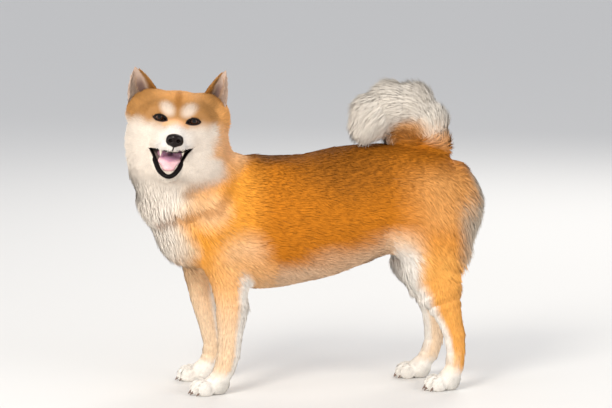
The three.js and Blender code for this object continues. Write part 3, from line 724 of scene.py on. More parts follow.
def leg_colour(p, n, colour):
    x, y, z = p.T
    inner = soft(-np.sign(y) * n[:, 1], 0.0, 0.45) * fade(z, 205, 240)
    fore = (x < -60) * fade(z, 205, 250)
    hind = (x > 110) * fade(z, 225, 262)
    return layered(
        colour,
        (CREAM, inner * 0.95),
        (AMBER, fore * 0.5),
        (CREAM, fore * fade(z, 90, 250) * 0.8),
        (WHITE, fore * soft(n[:, 0], 0.2, 0.65) * 0.95),
        (CREAM, (x < -60) * soft(-n[:, 0], 0.55, 0.9) * fade(z, 60, 190) * 0.6),
        (WHITE, hind * soft(-n[:, 0], 0.15, 0.6) * 0.95),
        (CREAM, (x > 110) * fade(z, 30, 85) * soft(0.6 - n[:, 0], 0, 0.4) * 0.85),
        (WHITE, fade(z, 26, 52)))


def head_colour(p):
    q = to_head(p)
    x, y, z = q.T
    wander = 3.5 * waves(p, 28, 3)
    pale = fade(z + wander - 0.10 * np.abs(x) - 0.25 * np.maximum(y, 0), -12, 12)
    pale *= 1 - soft(y + wander, 14, 44) * soft(z, -62, -20)
    cheek = spot(q, (52, -6, -2), (22, 40, 20)) + spot(q, (-54, -6, -2), (24, 40, 20))
    side_neck = soft(x + wander - 0.5 * (z + 62), 34, 54) * fade(z, -60, -30)
    brow_spots = []
    for at, way in (((-15.5, -38, 29), -1), ((17, -38, 29), 1)):
        lean = q - np.array(at)
        lean[:, 2] -= 0.35 * way * lean[:, 0]
        brow_spots.append(spot(lean, (0, 0, -2), (19, 28, 17)))
    return layered(
        TAN,
        (HIP, spot(q, (0, -10, 52), (60, 60, 22)) * 0.7),
        (SADDLE, spot(q, (0, -26, 46), (9, 40, 34)) * 0.55),
        (AMBER, soft(y, 25, 70) * 0.6),
        (FACE_WHITE, pale),
        (FACE_WHITE, cheek * 0.9),
        (HIP, soft(x + wander, 56, 70) * 0.8),
        (HIP, side_neck * 0.9),
        *[(FACE_WHITE, brow * 0.72) for brow in brow_spots],
        (PEACH, np.clip(1.5 * spot(q, (-1, -46, 4), (24, 34, 14)), 0, 1) * 0.85),
        (MUZZLE_WHITE, soft(-y, 54, 74) * 0.9),
        *[(HIP, spot(q, at, (9, 20, 8)) * 0.8) for at in ((-17, -44, 2), (17, -44, 0))],
        (FACE_WHITE, fade(z, -48, -36) * soft(-y, 14, 34)))


def tail_colour(p):
    x, _, z = p.T
    inside = fade(np.hypot((x - 168) * 0.8, z - 416), 15, 38)
    root = soft(x, 176, 208) * fade(z, 392, 436)
    # Painted shade: darkest brown in the hollow at the middle of the curl
    curl_hollow_shade = fade(np.hypot((x - 164) * 0.6, z - 412), 9, 24)
    return layered(BRUSH, (HIP, np.maximum(inside, root) * 0.9), (SADDLE, curl_hollow_shade * 0.85))


def paint(p, n):
    """The markings of skin and coat alike"""
    colour = leg_colour(p, n, body_colour(p, n))
    return layered(colour, (head_colour(p), headness(p)), (tail_colour(p), tailness(p)))


# Ears: a cupped blade on each side, open to the front
EARS = {"right": ((-38, 16, 57), (-83, 14, 37), (-77, 4, 93)),
        "left": ((39, 16, 58), (75, 12, 37), (71, 2, 101))}
EAR_ROWS = 30
EAR_ACROSS = 20
EAR_CUP = 17
EAR_BOW = 0.07
EAR_THICK = 3.4
EAR_PROUD = 0.4


def ear_place(side, u, t, front, proud=EAR_PROUD):
    """Places on an ear: u across it, t up it, on its front or its back"""
    a, b, c = (np.array(v, float) for v in EARS[side])
    u, t, front, proud = (np.reshape(v, (-1, 1)).astype(float) for v in (u, t, front, proud))
    up = np.maximum(t, 0)
    bow = np.sin(np.pi * up ** 0.8) * EAR_BOW
    start = a + (c - a) * t + (a - b) * bow
    end = b + (c - b) * t + (b - a) * bow
    cup = EAR_CUP * np.maximum(1 - up, 0) ** 0.9
    thick = EAR_THICK * (1 - 0.5 * up) * front
    deep = np.sin(np.pi * u) * (cup + proud - thick)
    return start + (end - start) * u + deep * np.array((0, 1, 0))


def ear_blade(side):
    """Rings from the root to the tip, each out along the back of the ear and home along its front"""
    out = np.linspace(0, 1, EAR_ACROSS)
    ring = np.concatenate([out, out[-2:0:-1]])
    size = len(ring)
    across = np.tile(ring, EAR_ROWS)
    front = np.tile(np.arange(size) >= EAR_ACROSS - 1, EAR_ROWS)
    height = np.repeat(np.linspace(-0.4, 0.985, EAR_ROWS), size)
    points = ear_place(side, across, height, front, np.where(front, 0, EAR_PROUD))
    faces = grid_quads(EAR_ROWS, size) + end_faces(EAR_ROWS, size)
    if side == "left":
        faces = [f[::-1] for f in faces]
    return points, faces, front, np.sin(np.pi * across), height


def ear_colour(front, middle, height):
    return layered(
        TAN,
        (SADDLE, soft(height, 0.55, 0.98) * 0.45),
        (EAR_PALE, front * soft(middle, 0.12, 0.4) * 0.92),
        (EAR_SKIN, front * soft(middle, 0.7, 0.97) * fade(height, 0.35, 0.75) * 0.9))


def eye_gap(q):
    """How far a point of the head is from the nearer eye's opening, seen along the gaze"""
    gaps = []
    for name in EYES:
        e = to_eye(q, name)
        ring = np.hypot(e[:, 0] / (LID_HALF[0] + 2.2), e[:, 2] / (lid_height(e[:, 2]) + 1.8))
        gaps.append((ring - 1) * 8 + 40 * (e[:, 1] > 6))
    return np.minimum(*gaps)


# The lips' middle lines and their thickness
upper = through(UPPER_LIP)
lower = through(LOWER_LIP, 90)
upper_ends = np.abs(np.linspace(-1, 1, len(upper)))
lower_ends = np.abs(np.linspace(-1, 1, len(lower)))
upper_size = 0.8 + 2.4 * soft(upper_ends, 0.35, 0.85) - 2.0 * soft(upper_ends, 0.93, 1.0)
lower_size = 3.5 + 0.6 * np.sin(3 * lower_ends) - 2.6 * soft(lower_ends, 0.93, 1.0)
LIP_LINE = np.concatenate([upper, lower])
LIP_SIZE = np.concatenate([upper_size, lower_size])


def lip_gap(q):
    return (np.sqrt(((q[:, None] - LIP_LINE[None]) ** 2).sum(2)) - LIP_SIZE).min(1)


# Skin: one mesh, finer on the face and finest round eyes and mouth
FACE_MIDDLE = (0, -18, -12)
FACE_HALF = (76, 74, 62)
SKIN_LOW = np.array((-305.0, -130.0, GROUND - 2.0))
SKIN_HIGH = np.array((300.0, 110.0, 512.0))
SKIN_SHADE = 0.93
EAR_SHADE = 0.9


def refine(mesh, chosen):
    """Cuts the edges whose two ends are chosen"""
    edges = [e for e in mesh.edges if all(chosen[v.index] for v in e.verts)]
    bmesh.ops.subdivide_edges(mesh, edges=edges, cuts=1, use_grid_fill=True)
    mesh.verts.index_update()


points, faces = meshed(skin_field, SKIN_LOW, SKIN_HIGH, BODY_CELL)
shell = bmesh.new()
for p in points:
    shell.verts.new(p)
shell.verts.ensure_lookup_table()
for face in faces:
    shell.faces.new([shell.verts[i] for i in face])
loose = [v for v in shell.verts if not v.link_faces]
bmesh.ops.delete(shell, geom=loose, context="VERTS")
shell.verts.index_update()
refine(shell, within(np.array([v.co for v in shell.verts]) - HEAD_AT - FACE_MIDDLE, FACE_HALF))
at_head = to_head(np.array([v.co for v in shell.verts]))
finest = (np.abs(eye_gap(at_head)) < 7) | (lip_gap(at_head) < 6)
refine(shell, finest & within(at_head, HEAD_REACH))
skin_points = np.array([v.co for v in shell.verts])
skin_faces = [tuple(v.index for v in f.verts) for f in shell.faces]
shell.free()
skin_points = settle(skin_points, skin_field, BODY_CELL / 2)
skin_normals = unit_rows(gradient(skin_field, skin_points, 0.8))
skin_tints = paint(skin_points, skin_normals) * SKIN_SHADE
near_face = within(skin_points - HEAD_AT, HEAD_REACH)
on_face = to_head(skin_points[near_face])
# Painted shade: the inside of the mouth and the skin in each eye's opening take a near-black maroon, the
# mouth's red darkened to the shade of these hollows
dark = np.maximum(soft(-wedge(on_face), -1.5, 0.5), fade(eye_gap(on_face), -1.0, 0.8))
skin_tints[near_face] = layered(skin_tints[near_face], (MOUTH_AND_LID_SHADE, dark))

skin_parts = [(skin_points, skin_faces)]
all_tints = [skin_tints]
for side in EARS:
    blade, blade_faces, front, middle, height = ear_blade(side)
    skin_parts.append((from_head(blade), blade_faces))
    all_tints.append(ear_colour(front, middle, height) * EAR_SHADE)
all_points, all_faces = joined(skin_parts)
skin_finish = material("skin_and_underfur", roughness=0.85, bump=0.3, grain=1.2, spread=0.05)
skin = piece("skin", all_points, all_faces, skin_finish, np.concatenate(all_tints))
FLESH = [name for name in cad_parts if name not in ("nose", "tongue", "eye_left", "eye_right")]
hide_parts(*FLESH)

# Nose: the pad, its wings, the nostrils with their slits and the groove below
pad = blend(4, ellipsoid((0, 1, 4.5), (12.5, 9.5, 6.5)), ellipsoid((0, 0, -2), (8, 8.5, 9)),
            mirrored(ellipsoid((8, 2, -1), (6, 8, 7))))
nostril = mirrored(blend(1.5, ellipsoid((6.2, -7.5, -0.6), (3.0, 5.5, 2.7)),
                         limb([(7, -7, -1.5, 1.6, 1.6), (13.5, -2, -4, 1.0, 1.0)], 1)))
groove = limb([(0, -10, 1, 0.7, 0.7), (0, -9.5, -5, 1.0, 1.0), (0, -6, -12, 1.2, 1.2)], 1)
nose_local = carve(1.2, pad, nostril, groove)


def nose_field(q):
    return nose_local(q - NOSE_AT)


NOSE_ROOM = 17
nose_points, nose_faces = meshed(nose_field, NOSE_AT - NOSE_ROOM, NOSE_AT + NOSE_ROOM, NOSE_CELL)
nose_finish = material("nose_leather", roughness=0.24, coat=0.3, specular=0.06, bump=0.12, grain=0.5,
                       spread=0.3)
nose = piece("nose_pad", from_head(nose_points), nose_faces, nose_finish, NOSE_BLACK)
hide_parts("nose")

# Eyes: a ball with pupil and iris, its pole along the gaze, and a cornea that bulges
GAZE = turned(pitch=4, yaw=6) @ np.array((0, -1, 0.0))
IRIS = 6.6
PUPIL = 3.0
BALL_SUNK = 0.25
CORNEA_RISE = 0.7
FAR = 99


def eye_ball(at, rings=40, around=48):
    side = unit_rows(np.cross(GAZE, (0, 0, 1))[None])[0]
    top = np.cross(side, GAZE)
    angle = np.linspace(0, np.pi, rings)[1:-1]
    turn = 2 * np.pi * np.arange(around) / around
    away = EYE_RADIUS * np.sin(angle) * np.sign(np.cos(angle).clip(0) + 1e-9) + (angle > np.pi / 2) * FAR
    swell = EYE_RADIUS - BALL_SUNK + CORNEA_RISE * fade(away, 3.0, 7.4)
    circle = np.cos(turn)[None, :, None] * side + np.sin(turn)[None, :, None] * top
    ring = circle * np.sin(angle)[:, None, None]
    rows = ((ring + GAZE * np.cos(angle)[:, None, None]) * swell[:, None, None]).reshape(-1, 3)
    points = np.concatenate([rows, [GAZE * (EYE_RADIUS + 0.45)], [-GAZE * EYE_RADIUS]])
    count = len(angle)
    front_pole, back_pole, last = count * around, count * around + 1, (count - 1) * around
    faces = [(a, d, c, b) for a, b, c, d in grid_quads(count, around)]
    for k in range(around):
        m = (k + 1) % around
        faces += [(front_pole, k, m), (back_pole, last + m, last + k)]
    distance = np.concatenate([np.repeat(away, around), [0, FAR]])
    spokes = np.concatenate([np.tile(1 + 0.25 * np.sin(9 * turn) * np.cos(23 * turn), count), [1, 1]])
    colour = layered(EYE_WHITE, (IRIS_EDGE, soft(-distance, -IRIS - 0.6, -IRIS + 0.3)),
                     (IRIS_BROWN, soft(-distance, -IRIS + 0.4, -IRIS + 1.6)))
    colour = colour * (1 + (spokes - 1) * soft(-distance, -IRIS, -IRIS + 1))[:, None]
    colour = layered(colour, (PUPIL_BLACK, soft(-distance, -PUPIL - 0.4, -PUPIL + 0.2)))
    return from_head(points + np.array(at)), faces, colour


eye_finish = material("eye_gloss", roughness=0.05, coat=0.2, specular=0.22, spread=0.05)
for name, at in EYES.items():
    eye_points, eye_faces, eye_tints = eye_ball(at)
    ball = piece(name + "_ball", eye_points, eye_faces, eye_finish, eye_tints)
    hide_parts(name)

# Lid rims: black leather round each opening, drawn out to a point at both corners
LID_STEPS = 72


def lid_surface(name, across, up):
    """Points of a lid's edge, drawn forward to the face of the closed lid"""
    deep = np.arange(-30, 6, 0.3)
    edge = []
    for x, z in zip(across, up):
        line = from_eye(np.stack([np.full(len(deep), x), deep, np.full(len(deep), z)], 1), name)
        covered = body(from_head(line).astype(np.float32)) + coat_depth(from_head(line))
        first = np.argmax(lidded(line.astype(np.float32), covered.astype(np.float32)) < 0)
        edge.append(line[first] + (0, 0.4, 0))
    return np.array(edge)


rims = []
forward = HEAD_TURN @ np.array((0, -1, 0))
for name, at in EYES.items():
    side = np.sign(at[0])
    turn = 2 * np.pi * np.arange(LID_STEPS) / LID_STEPS
    across = (LID_HALF[0] + 0.9) * np.cos(turn)
    up = (lid_height(np.sin(turn)) + 0.35) * np.sign(np.sin(turn)) * np.abs(np.sin(turn)) ** 1.2
    corner = soft(np.abs(np.cos(turn)), 0.9, 1.0)
    inner = soft(-side * np.cos(turn), 0.85, 1.0)
    path = lid_surface(name, across * (1 + 0.10 * corner + 0.06 * inner), up - 1.6 * inner)
    thick = 1.0 + 0.4 * soft(np.sin(turn), 0.0, 0.8) - 0.3 * corner
    rims.append(tube(from_head(path), thick, 10, closed=True, flat=0.8, up=forward))
rim_points, rim_faces = joined(rims)
leather = material("black_leather", roughness=0.4, coat=0.04, specular=0.06, bump=0.2, grain=0.5, spread=0.35)
piece("lid_rims", rim_points, rim_faces, leather, RIM_BLACK)

# Lips: black edges of the mouth, thick at the corners and thin under the nose
philtrum = [(0.5, -93, -29), (0, -93, -33), (-1, -91, -37), (-2, -88, -40)]
lip_points, lip_faces = joined([tube(from_head(philtrum), (0.7, 0.9, 0.9, 0.6), 8),
                                tube(from_head(upper), upper_size, 12, flat=0.8),
                                tube(from_head(lower), lower_size, 14, flat=0.85)])
piece("lips", lip_points, lip_faces, leather, LIP_BLACK)

# Tongue: violet far back, pale pink at its tip, with a groove, and darker at its root far in the mouth as
# painted shade
TONGUE = [(-4, -30, -29, 7, 17), (-4.5, -44, -42, 7, 18), (-5.5, -57, -55, 7, 15), (-5.5, -67, -66, 6, 10)]
tongue_field = carve(3, limb(TONGUE, 6, True),
                     limb([(-4, -28, -20, 3.5, 3.5), (-5, -54, -46, 3.5, 3.5)], 2))
tongue_points, tongue_faces = meshed(tongue_field, (-32, -84, -84), (24, -14, -10), TONGUE_CELL)
tx, _, tz = tongue_points.T
tongue_tints = layered(TONGUE_PINK, (TONGUE_VIOLET, soft(tz - 0.4 * np.abs(tx + 5), -60, -53) * 0.95),
                       (TONGUE_ROOT_SHADE, soft(tz, -42, -30)))
wet = material("tongue_wet", roughness=0.38, coat=0.3, bump=0.4, grain=0.6, spread=0.08, subsurface=0.15)
tongue = piece("tongue_soft", from_head(tongue_points), tongue_faces, wet, tongue_tints)
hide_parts("tongue")


# Teeth of the upper jaw: two canines and the small front ones
def tooth(at, length, radius):
    steps = np.linspace(-0.5, 1, 9)
    path = [np.array(at, float) + (0, -0.10 * t * t * length, -length * t) for t in steps]
    size = [radius * (1 - max(t, 0) ** 1.6) + 0.12 for t in steps]
    return tube(path, size, 10, up=(1, 0, 0))


canines = [tooth((-20, -67, -38), 10, 2.4), tooth((15, -67, -37), 8, 2.3)]
front_teeth = [tooth((x - 2, -79 + x * x * 0.05, -38), 3.4, 1.2) for x in (-8, -4.5, -1.5, 1.5, 4.5, 8)]
teeth_points, teeth_faces = joined(canines + front_teeth)
enamel = material("enamel", roughness=0.22, coat=0.4, spread=0.05)
piece("teeth", from_head(teeth_points), teeth_faces, enamel, IVORY)

# Claws: short curved horn at the end of each toe
claw_parts = []
for leg in LEGS.values():
    s, spin = leg["size"], turned(yaw=leg["yaw"])
    for x, y in TOES:
        t = np.linspace(0, 1, 8)
        local = np.stack([(x - 9 - 8 * t) * s, y * s * (1 + 0.04 * t), -6 - 5.5 * t ** 1.7], 1)
        claw_parts.append(tube(local @ spin.T + np.array(leg["paw"]), 2.3 * (1 - t ** 1.8) + 0.25, 8))
claw_points, claw_faces = joined(claw_parts)
horn = material("claw_horn", roughness=0.35, coat=0.2, spread=0.2)
piece("claws", claw_points, claw_faces, horn, HORN)

# Floor, lights and camera
FLOOR_HALF = 150
SKY_STRENGTH = 0.76
corners = [(-FLOOR_HALF, -FLOOR_HALF, 0), (FLOOR_HALF, -FLOOR_HALF, 0),
           (FLOOR_HALF, FLOOR_HALF, 0), (-FLOOR_HALF, FLOOR_HALF, 0)]
floor_mesh = bpy.data.meshes.new("floor")
floor_mesh.from_pydata(corners, [], [(0, 1, 2, 3)])
floor = linked("floor", floor_mesh)
floor_paint = bpy.data.materials.new("floor_paint")
floor_paint.use_nodes = True
dial(floor_paint.node_tree.nodes["Principled BSDF"], {"Base Color": FLOOR_PALE, "Roughness": 0.9})
floor_mesh.materials.append(floor_paint)

world = bpy.data.worlds.new("studio")
world.use_nodes = True
dial(world.node_tree.nodes["Background"], {"Color": SKY_PALE, "Strength": SKY_STRENGTH})
bpy.context.scene.world = world

# Name, place, size, power and colour of each soft light. All look at the dog's middle.
LIGHTS = [("key", (-1.6, -2.6, 2.6), 1.4, 86, (1.0, 0.95, 0.87)),
          ("fill", (2.6, -2.2, 1.4), 2.4, 36, (1.0, 0.97, 0.93)),
          ("low", (-3.0, -1.6, 0.75), 1.8, 31, (1.0, 0.96, 0.90)),
          ("rim", (1.2, 2.6, 2.4), 1.8, 42, (1.0, 0.97, 0.92))]
LIT_AT = Vector((0, 0, 0.3))
for name, place, size, power, colour in LIGHTS:
    light = bpy.data.lights.new(name, "AREA")
    light.shape = "DISK"
    light.size = size
    light.energy = power
    light.color = colour
    aimed(name, light, place, LIT_AT - Vector(place))

view = bpy.data.cameras.new("camera")
view.lens = CAMERA["lens"]
view.sensor_width = CAMERA["sensor"]
around, above = math.radians(CAMERA["azimuth"]), math.radians(CAMERA["elevation"])
back = Vector((math.sin(around) * math.cos(above), -math.cos(around) * math.cos(above), math.sin(above)))
camera = aimed("camera", view, Vector(CAMERA["aim"]) + back * CAMERA["distance"], -back)
bpy.context.scene.camera = camera
bpy.context.scene.view_settings.view_transform = "Standard"
bpy.context.scene.view_settings.look = "None"

# Coat: the way it points, then the length and lift of its tufts, their width and how densely they grow
WAYS = {"back": (1.0, 0, -0.28), "shoulder": (0.75, 0, -0.7), "throat": (0.12, 0, -1.0),
        "belly": (0.8, 0, -0.75), "rump": (0.55, 0, -0.85), "leg": (0.1, 0, -1.0), "paw": (-0.75, 0, -0.6)}
COAT = {"back": (17, 13, 2.3, 1.0), "shoulder": (20, 13, 2.1, 1.3), "bib": (27, 25, 2.2, 1.3),
        "belly": (24, 22, 2.3, 1.2), "leg": (10, 11, 1.8, 1.2), "paw": (6.5, 10, 1.5, 1.5),
        "thigh_fringe": (19, 20, 2.2, 1.3), "seat": (35, 29, 2.3, 1.5), "elbow": (17, 17, 2.0, 1.3),
        "head": (9.5, 11, 1.3, 2.3), "cheek": (17, 16, 1.6, 1.9), "face": (5.5, 11, 0.95, 3.6),
        "brush": (31, 34, 1.8, 3.0), "curl": (22, 24, 1.8, 2.2), "tail_root": (24, 20, 2.4, 1.3)}
FLATNESS = 0.32
ROOT_SINK = 0.3

# How far from nose, eye, lips, mouth and ground nothing grows
BARE = {"nose": 1.2, "eye": 0, "lips": 0.8, "mouth": 1.0, "ground": 2.5}

# What the random draws of a tuft range over
LIFTS = (0.7, 1.5)
LENGTHS = (0.72, 1.22)
WIDTHS = (0.75, 1.25)
SLOW_TURNS = 0.16
FINE_TURNS = 0.06
LOOSE_TURNS = 0.07
TINT_SPREAD = 0.065
DARK_TIP = 0.62


def tail_way(p):
    """Along the tail at each point, and out from its middle line"""
    line = tail_curve(np.linspace(0, len(TAIL) - 1, 80))[:, :3]
    gap = ((p[:, None] - line[None]) ** 2).sum(2)
    near = gap.argmin(1)
    return unit_rows(np.gradient(line, axis=0))[near], unit_rows(p - line[near])


def lie_of(p):
    """The way that the coat points at each place"""
    x, y, z = p.T
    way = layered(
        WAYS["back"],
        (WAYS["shoulder"], soft(-x, 90, 150)),
        (WAYS["throat"], soft(-x, 165, 215) * fade(z, 380, 420)),
        (WAYS["belly"], fade(z, 195, 245)),
        (WAYS["rump"], soft(x, 150, 205) * fade(z, 330, 385)),
        (WAYS["leg"], fade(z, 150, 200)),
        (WAYS["paw"], fade(z, 24, 46)))
    way[:, 1] += 0.16 * np.sign(y) * soft(z, 300, 390)
    q = to_head(p)
    out = q - np.array((0, -74, -14))
    out[:, 1] = np.abs(out[:, 1]) * 0.7 + 12
    out[:, 2] -= 14 * soft(-q[:, 2], 20, 60)
    on_head = headness(p)
    way = layered(way, ((0, 0, 0), on_head)) + unit_rows(out) @ HEAD_TURN.T * on_head[:, None]
    on_tail = tailness(p)[:, None]
    along, outward = tail_way(p)
    return unit_rows(way * (1 - on_tail) + (along * 0.8 + outward * 0.5) * on_tail)


def growth(p, n):
    """Length, lift in degrees, width and density of the coat at each place"""
    x, y, z = p.T
    q = to_head(p)
    on_head = headness(p)
    on_tail = tailness(p)
    middle = np.hypot(x - 168, z - 424)
    shares = {
        "shoulder": soft(-x, 120, 190) * soft(z, 200, 250),
        "bib": soft(-x, 185, 230) * soft(z, 190, 225) * fade(z, 325, 360) * soft(-n[:, 0], 0.2, 0.7),
        "belly": fade(z - belly_line(x), 8, 40) * soft(x, -120, -90) * fade(x, 130, 170),
        "leg": fade(z, 140, 245),
        "paw": fade(z, 38, 60),
        "thigh_fringe": (x > 110) * soft(-n[:, 0], 0.3, 0.8) * soft(z, 130, 160) * fade(z, 225, 262),
        "seat": soft(x, 205, 245) * soft(n[:, 0], 0.2, 0.7) * soft(z, 155, 250) * fade(z, 330, 370),
        "elbow": (x < -60) * (x > -150) * soft(n[:, 0], 0.3, 0.8) * soft(z, 100, 150) * fade(z, 190, 220),
        "head": on_head,
        "cheek": on_head * soft(np.abs(q[:, 0]), 34, 62) * fade(q[:, 2], 6, 30),
        "face": on_head * soft(-q[:, 1], 8, 44),
        "brush": on_tail,
        "curl": on_tail * fade(middle, 16, 40),
        "tail_root": on_tail * fade(z, 395, 432)}
    coat = layered(COAT["back"], *[(COAT[kind], share) for kind, share in shares.items()])
    by_eye = np.where(on_head > 0.5, fade(eye_gap(q), 2, 16), 0)
    coat[:, 0] *= 1 - 0.62 * by_eye
    coat[:, 1] *= 1 - 0.5 * by_eye
    return coat


def bare(p):
    """Where nothing grows: nose, lips, inside of the mouth, eyes and near the ground"""
    q = to_head(p)
    near = within(q, HEAD_REACH)
    naked = np.zeros(len(p), bool)
    h = q[near]
    naked[near] = ((nose_field(h) < BARE["nose"]) | (eye_gap(h) < BARE["eye"]) | (lip_gap(h) < BARE["lips"])
                   | (wedge(h) < BARE["mouth"]))
    return naked | (p[:, 2] < GROUND + BARE["ground"])


def tuft_shape(root, out, lie, length, width):
    """Seven corners for each tuft: a ring of three at the root, three part way and the tip"""
    side = unit_rows(np.cross(lie, out))
    along = unit_rows(lie)
    top = unit_rows(np.cross(side, along))
    reach = along * length[:, None]
    rise = np.maximum((reach * out).sum(1), 0)
    corners = []
    for share, size in ((-0.10, 0.46), (0.50, 0.38)):
        middle = root + reach * share - out * (0.4 * rise * max(share, 0) ** 2)[:, None]
        for angle in (90, 210, 330):
            a = math.radians(angle)
            spoke = side * math.cos(a) - top * math.sin(a) * FLATNESS
            corners.append(middle + spoke * (width * size)[:, None])
    corners.append(root + reach - out * (0.5 * rise)[:, None])
    return np.stack(corners, 1)


TUFT_FACES = np.array([(0, 1, 4), (0, 4, 3), (1, 2, 5), (1, 5, 4), (2, 0, 3), (2, 3, 5),
                       (3, 4, 6), (4, 5, 6), (5, 3, 6)])
TUFT_SHADE = np.array((0.88, 0.88, 0.88, 1.0, 1.0, 1.0, 1.06))
DARKEST, PALEST = 0.002, 0.93

# The coat's unwrap: a square for each part of the body and each way it faces, and a small patch for a tuft
PATCH = np.array([(0, 0), (1, 0), (2, 0), (0, 1), (1, 1), (2, 1), (1, 2)]) * 0.0015
PARTS_ACROSS = 7
LOW_PART = 205
TRUNK, FORE_LEFT, FORE_RIGHT, TAIL_PART, HEAD_PART = 0, 1, 2, 5, 6
PART_CORNERS = np.array([(-320, -140, -10), (-320, -140, -10), (-320, 0, -10), (100, -140, -10),
                         (100, 0, -10), (60, -120, 330), (-330, -160, 320)])
PART_SPANS = np.array([580, 240, 240, 240, 240, 240, 240])
EAR_SQUARES = 42


def chart_place(p, n):
    """A place on the unwrap of the skin"""
    part = np.full(len(p), TRUNK)
    low_down = p[:, 2] < LOW_PART
    part[low_down] = FORE_LEFT
    part[low_down & (p[:, 1] > 0)] = FORE_RIGHT
    part[low_down & (p[:, 0] > 60)] += 2
    part[tailness(p) > 0.5] = TAIL_PART
    part[headness(p) > 0.5] = HEAD_PART
    facing = np.abs(n).argmax(1)
    turned_back = np.take_along_axis(n, facing[:, None], 1)[:, 0] < 0
    square = part * 6 + facing * 2 + turned_back
    local = (p - PART_CORNERS[part]) / PART_SPANS[part][:, None]
    across = np.where(facing == 0, local[:, 1], local[:, 0])
    up = np.where(facing == 2, local[:, 1], local[:, 2])
    column, row = square % PARTS_ACROSS, square // PARTS_ACROSS
    return np.stack([column + 0.03 + 0.9 * across, row + 0.03 + 0.9 * up], 1) / PARTS_ACROSS


def scattered(points, faces, count, weight):
    """Random places on a mesh, denser where the weight is larger"""
    fans = np.array([(f[0], b, c) for f in faces for b, c in zip(f[1:], f[2:])])
    triangles = points[fans]
    sides = triangles[:, 1:] - triangles[:, :1]
    area = np.linalg.norm(np.cross(sides[:, 0], sides[:, 1]), axis=1)
    share = area * weight(triangles.mean(1))
    pick = rng.choice(len(triangles), count, p=share / share.sum())
    u, v = rng.random((2, count))
    flip = u + v > 1
    u[flip], v[flip] = 1 - u[flip], 1 - v[flip]
    return triangles[pick, 0] + sides[pick, 0] * u[:, None] + sides[pick, 1] * v[:, None]


def rough_normal(p):
    return unit_rows(gradient(skin_field, p, 1.2))


def wandering(p, size, seed):
    """Slow random turns of the coat"""
    return np.stack([waves(p, size, seed + k) for k in range(3)], 1)


roots = scattered(skin_points, skin_faces, TUFTS, lambda p: growth(p, rough_normal(p))[:, 3])
roots = roots[~bare(roots)]
out = rough_normal(roots)
length, lift, width, _ = growth(roots, out).T
calm = 0.35 + 0.65 * soft(roots[:, 2], 120, 230)
way = lie_of(roots)
way = way + wandering(roots, 70, 5) * SLOW_TURNS * calm[:, None]
way = way + wandering(roots, 14, 9) * FINE_TURNS * calm[:, None]
way = way + rng.normal(0, LOOSE_TURNS, roots.shape)
flat_way = unit_rows(way - out * (way * out).sum(1)[:, None])
lift = np.radians(lift * rng.uniform(*LIFTS, len(roots)))
lie = flat_way * np.cos(lift)[:, None] + out * np.sin(lift)[:, None]
clump = 1 + 0.10 * waves(roots, 18, 14) * calm
length = length * clump * rng.uniform(*LENGTHS, len(roots))
width = width * rng.uniform(*WIDTHS, len(roots))
corners = tuft_shape(roots - out * ROOT_SINK, out, lie, length, width)

# Tufts that would cover an eye, the nose or the mouth, or reach the floor, are left out.
tips = to_head(corners[:, 6])
middles = to_head(corners[:, 3:6].mean(1))
clear = (eye_gap(tips) > -0.6) & (eye_gap(middles) > -0.3) & (nose_field(tips) > 0.6)
clear &= ~((wedge(tips) < -2.5) & (tips[:, 1] < -20)) & (lip_gap(tips) > -0.4)
clear &= corners[:, 6, 2] > GROUND + 2 * FLOOR_GAP
roots, out, corners = roots[clear], out[clear], corners[clear]

# Each tuft is a little lighter or darker than its place, the pale ones less so. Some on the back tip dark.
# Painted shade darkens each tuft's root and painted light brightens its tip, a quarter as much on pale tufts.
base = paint(roots, out)
vary = 1 + rng.normal(0, TINT_SPREAD, len(roots)) + 0.03 * waves(roots, 16, 20)
pale = base.min(1) > 0.45
vary = np.where(pale, 1 + (vary - 1) * 0.45, vary)
on_back = soft(roots[:, 2], 300, 380) * (roots[:, 0] > -120) * ~pale
shade_and_dark_tips = np.tile(TUFT_SHADE, (len(roots), 1))
shade_and_dark_tips[:, 6] *= np.where(on_back > rng.random(len(roots)), DARK_TIP, 1)
shade_and_dark_tips = np.where(pale[:, None], 1 + (shade_and_dark_tips - 1) * 0.25, shade_and_dark_tips)
tints = np.clip(base[:, None] * (vary[:, None] * shade_and_dark_tips)[:, :, None], DARKEST, PALEST)
places = chart_place(roots, out)[:, None] + PATCH[None]
coat_finish = material("coat_hair", roughness=0.68, specular=0.1, spread=0.05, grain=4)


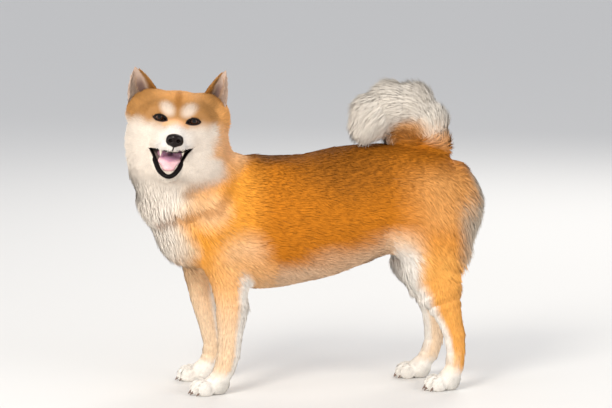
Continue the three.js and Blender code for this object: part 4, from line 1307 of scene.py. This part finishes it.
def ear_coat(side, square):
    """The coat of an ear: short behind, pale hair along both edges and up out of the cup"""
    root_inner, root_outer, _ = np.array(EARS[side], float)
    u, t = rng.random((2, EAR_TUFTS))
    t = 1 - np.sqrt(1 - 0.97 * t)
    front = rng.random(EAR_TUFTS) < 0.42
    edge = np.abs(u - 0.5) * 2
    at_edge = front & (rng.random(EAR_TUFTS) < 0.5)
    u = np.where(at_edge, np.round(u) + np.where(u < 0.5, 1, -1) * 0.16 * edge, u)
    edge = np.abs(u - 0.5) * 2
    place = ear_place(side, u, t - 0.05, front)
    tip = ear_place(side, 0.5, 1.0, True)
    up = unit_rows(tip + (0, 0, 12) - place)
    inward = np.where(u < 0.5, 1, -1)[:, None] * unit_rows((root_outer - root_inner)[None])
    facing = np.where(front, -1.0, 1.0)[:, None] * np.array((0.0, 1.0, 0.0)) - inward * edge[:, None] * 0.9
    facing = unit_rows(facing)
    long = np.where(front, 5 + 10 * (1 - t) * (0.3 + 0.7 * edge), 5 - 2 * t)
    long = long * rng.uniform(0.7, 1.25, EAR_TUFTS)
    way = up + inward * (front * 0.45 * edge * (1 - t))[:, None] + rng.normal(0, 0.12, place.shape)
    way = unit_rows(way - facing * (way * facing).sum(1)[:, None])
    rise = np.radians(np.where(front, 15, 9))[:, None]
    lie = way * np.cos(rise) + facing * np.sin(rise)
    corners = tuft_shape(place, facing, lie, long, np.where(front, 1.1, 1.3))
    inner_edge = front * fade(u, 0.06, 0.24)
    pale = front * (1 - inner_edge) * (0.3 + 0.6 * soft(edge, 0.2, 0.7)) * (1 - 0.8 * soft(t, 0.75, 0.95))
    colour = layered(
        TAN,
        (SADDLE, soft(t, 0.6, 1.0) * 0.4),
        (EAR_PALE, pale),
        (SADDLE, front * fade(u, 0.02, 0.3) * fade(t, 0.05, 0.4) * 0.6))
    colour = colour * (1 + rng.normal(0, 0.07, EAR_TUFTS))[:, None]
    column, row = square % PARTS_ACROSS, square // PARTS_ACROSS
    uv = np.stack([column + 0.05 + 0.85 * u, row + 0.05 + 0.42 * t + 0.45 * front], 1) / PARTS_ACROSS
    return from_head(corners.reshape(-1, 3)).reshape(corners.shape), facing @ HEAD_TURN.T, colour, uv


def coat_piece(name, corners, out, tints, uv):
    """One mesh of many tufts, shaded mostly as the body under them"""
    faces = (TUFT_FACES[None] + 7 * np.arange(len(corners))[:, None, None]).reshape(-1, 3)
    rings = np.array([corners[:, :3].mean(1), corners[:, 3:6].mean(1)])
    around = corners[:, :6] - np.repeat(rings, 3, axis=0).transpose(1, 0, 2)
    around /= np.linalg.norm(around, axis=2, keepdims=True) + 1e-9
    tips = unit_rows(corners[:, 6] - rings[1])[:, None]
    normals = out[:, None] + 0.3 * np.concatenate([around, tips], 1)
    piece(name, corners.reshape(-1, 3), faces, coat_finish, tints.reshape(-1, 3),
          uv=uv.reshape(-1, 2), normals=unit_rows(normals.reshape(-1, 3)))


for square, side in enumerate(EARS, start=EAR_SQUARES):
    ear_corners, ear_out, ear_base, ear_uv = ear_coat(side, square)
    ear_tints = np.clip(ear_base[:, None] * TUFT_SHADE[None, :, None], DARKEST, PALEST)
    coat_piece(f"coat_ear_{side}", ear_corners, ear_out, ear_tints, ear_uv[:, None] + PATCH[None])

order = np.lexsort((roots[:, 0], headness(roots) < 0.5))
count = math.ceil(len(order) / TUFTS_A_PIECE)
for k, chosen in enumerate(np.array_split(order, count)):
    coat_piece(f"coat_{k + 1}", corners[chosen], out[chosen], tints[chosen], places[chosen])
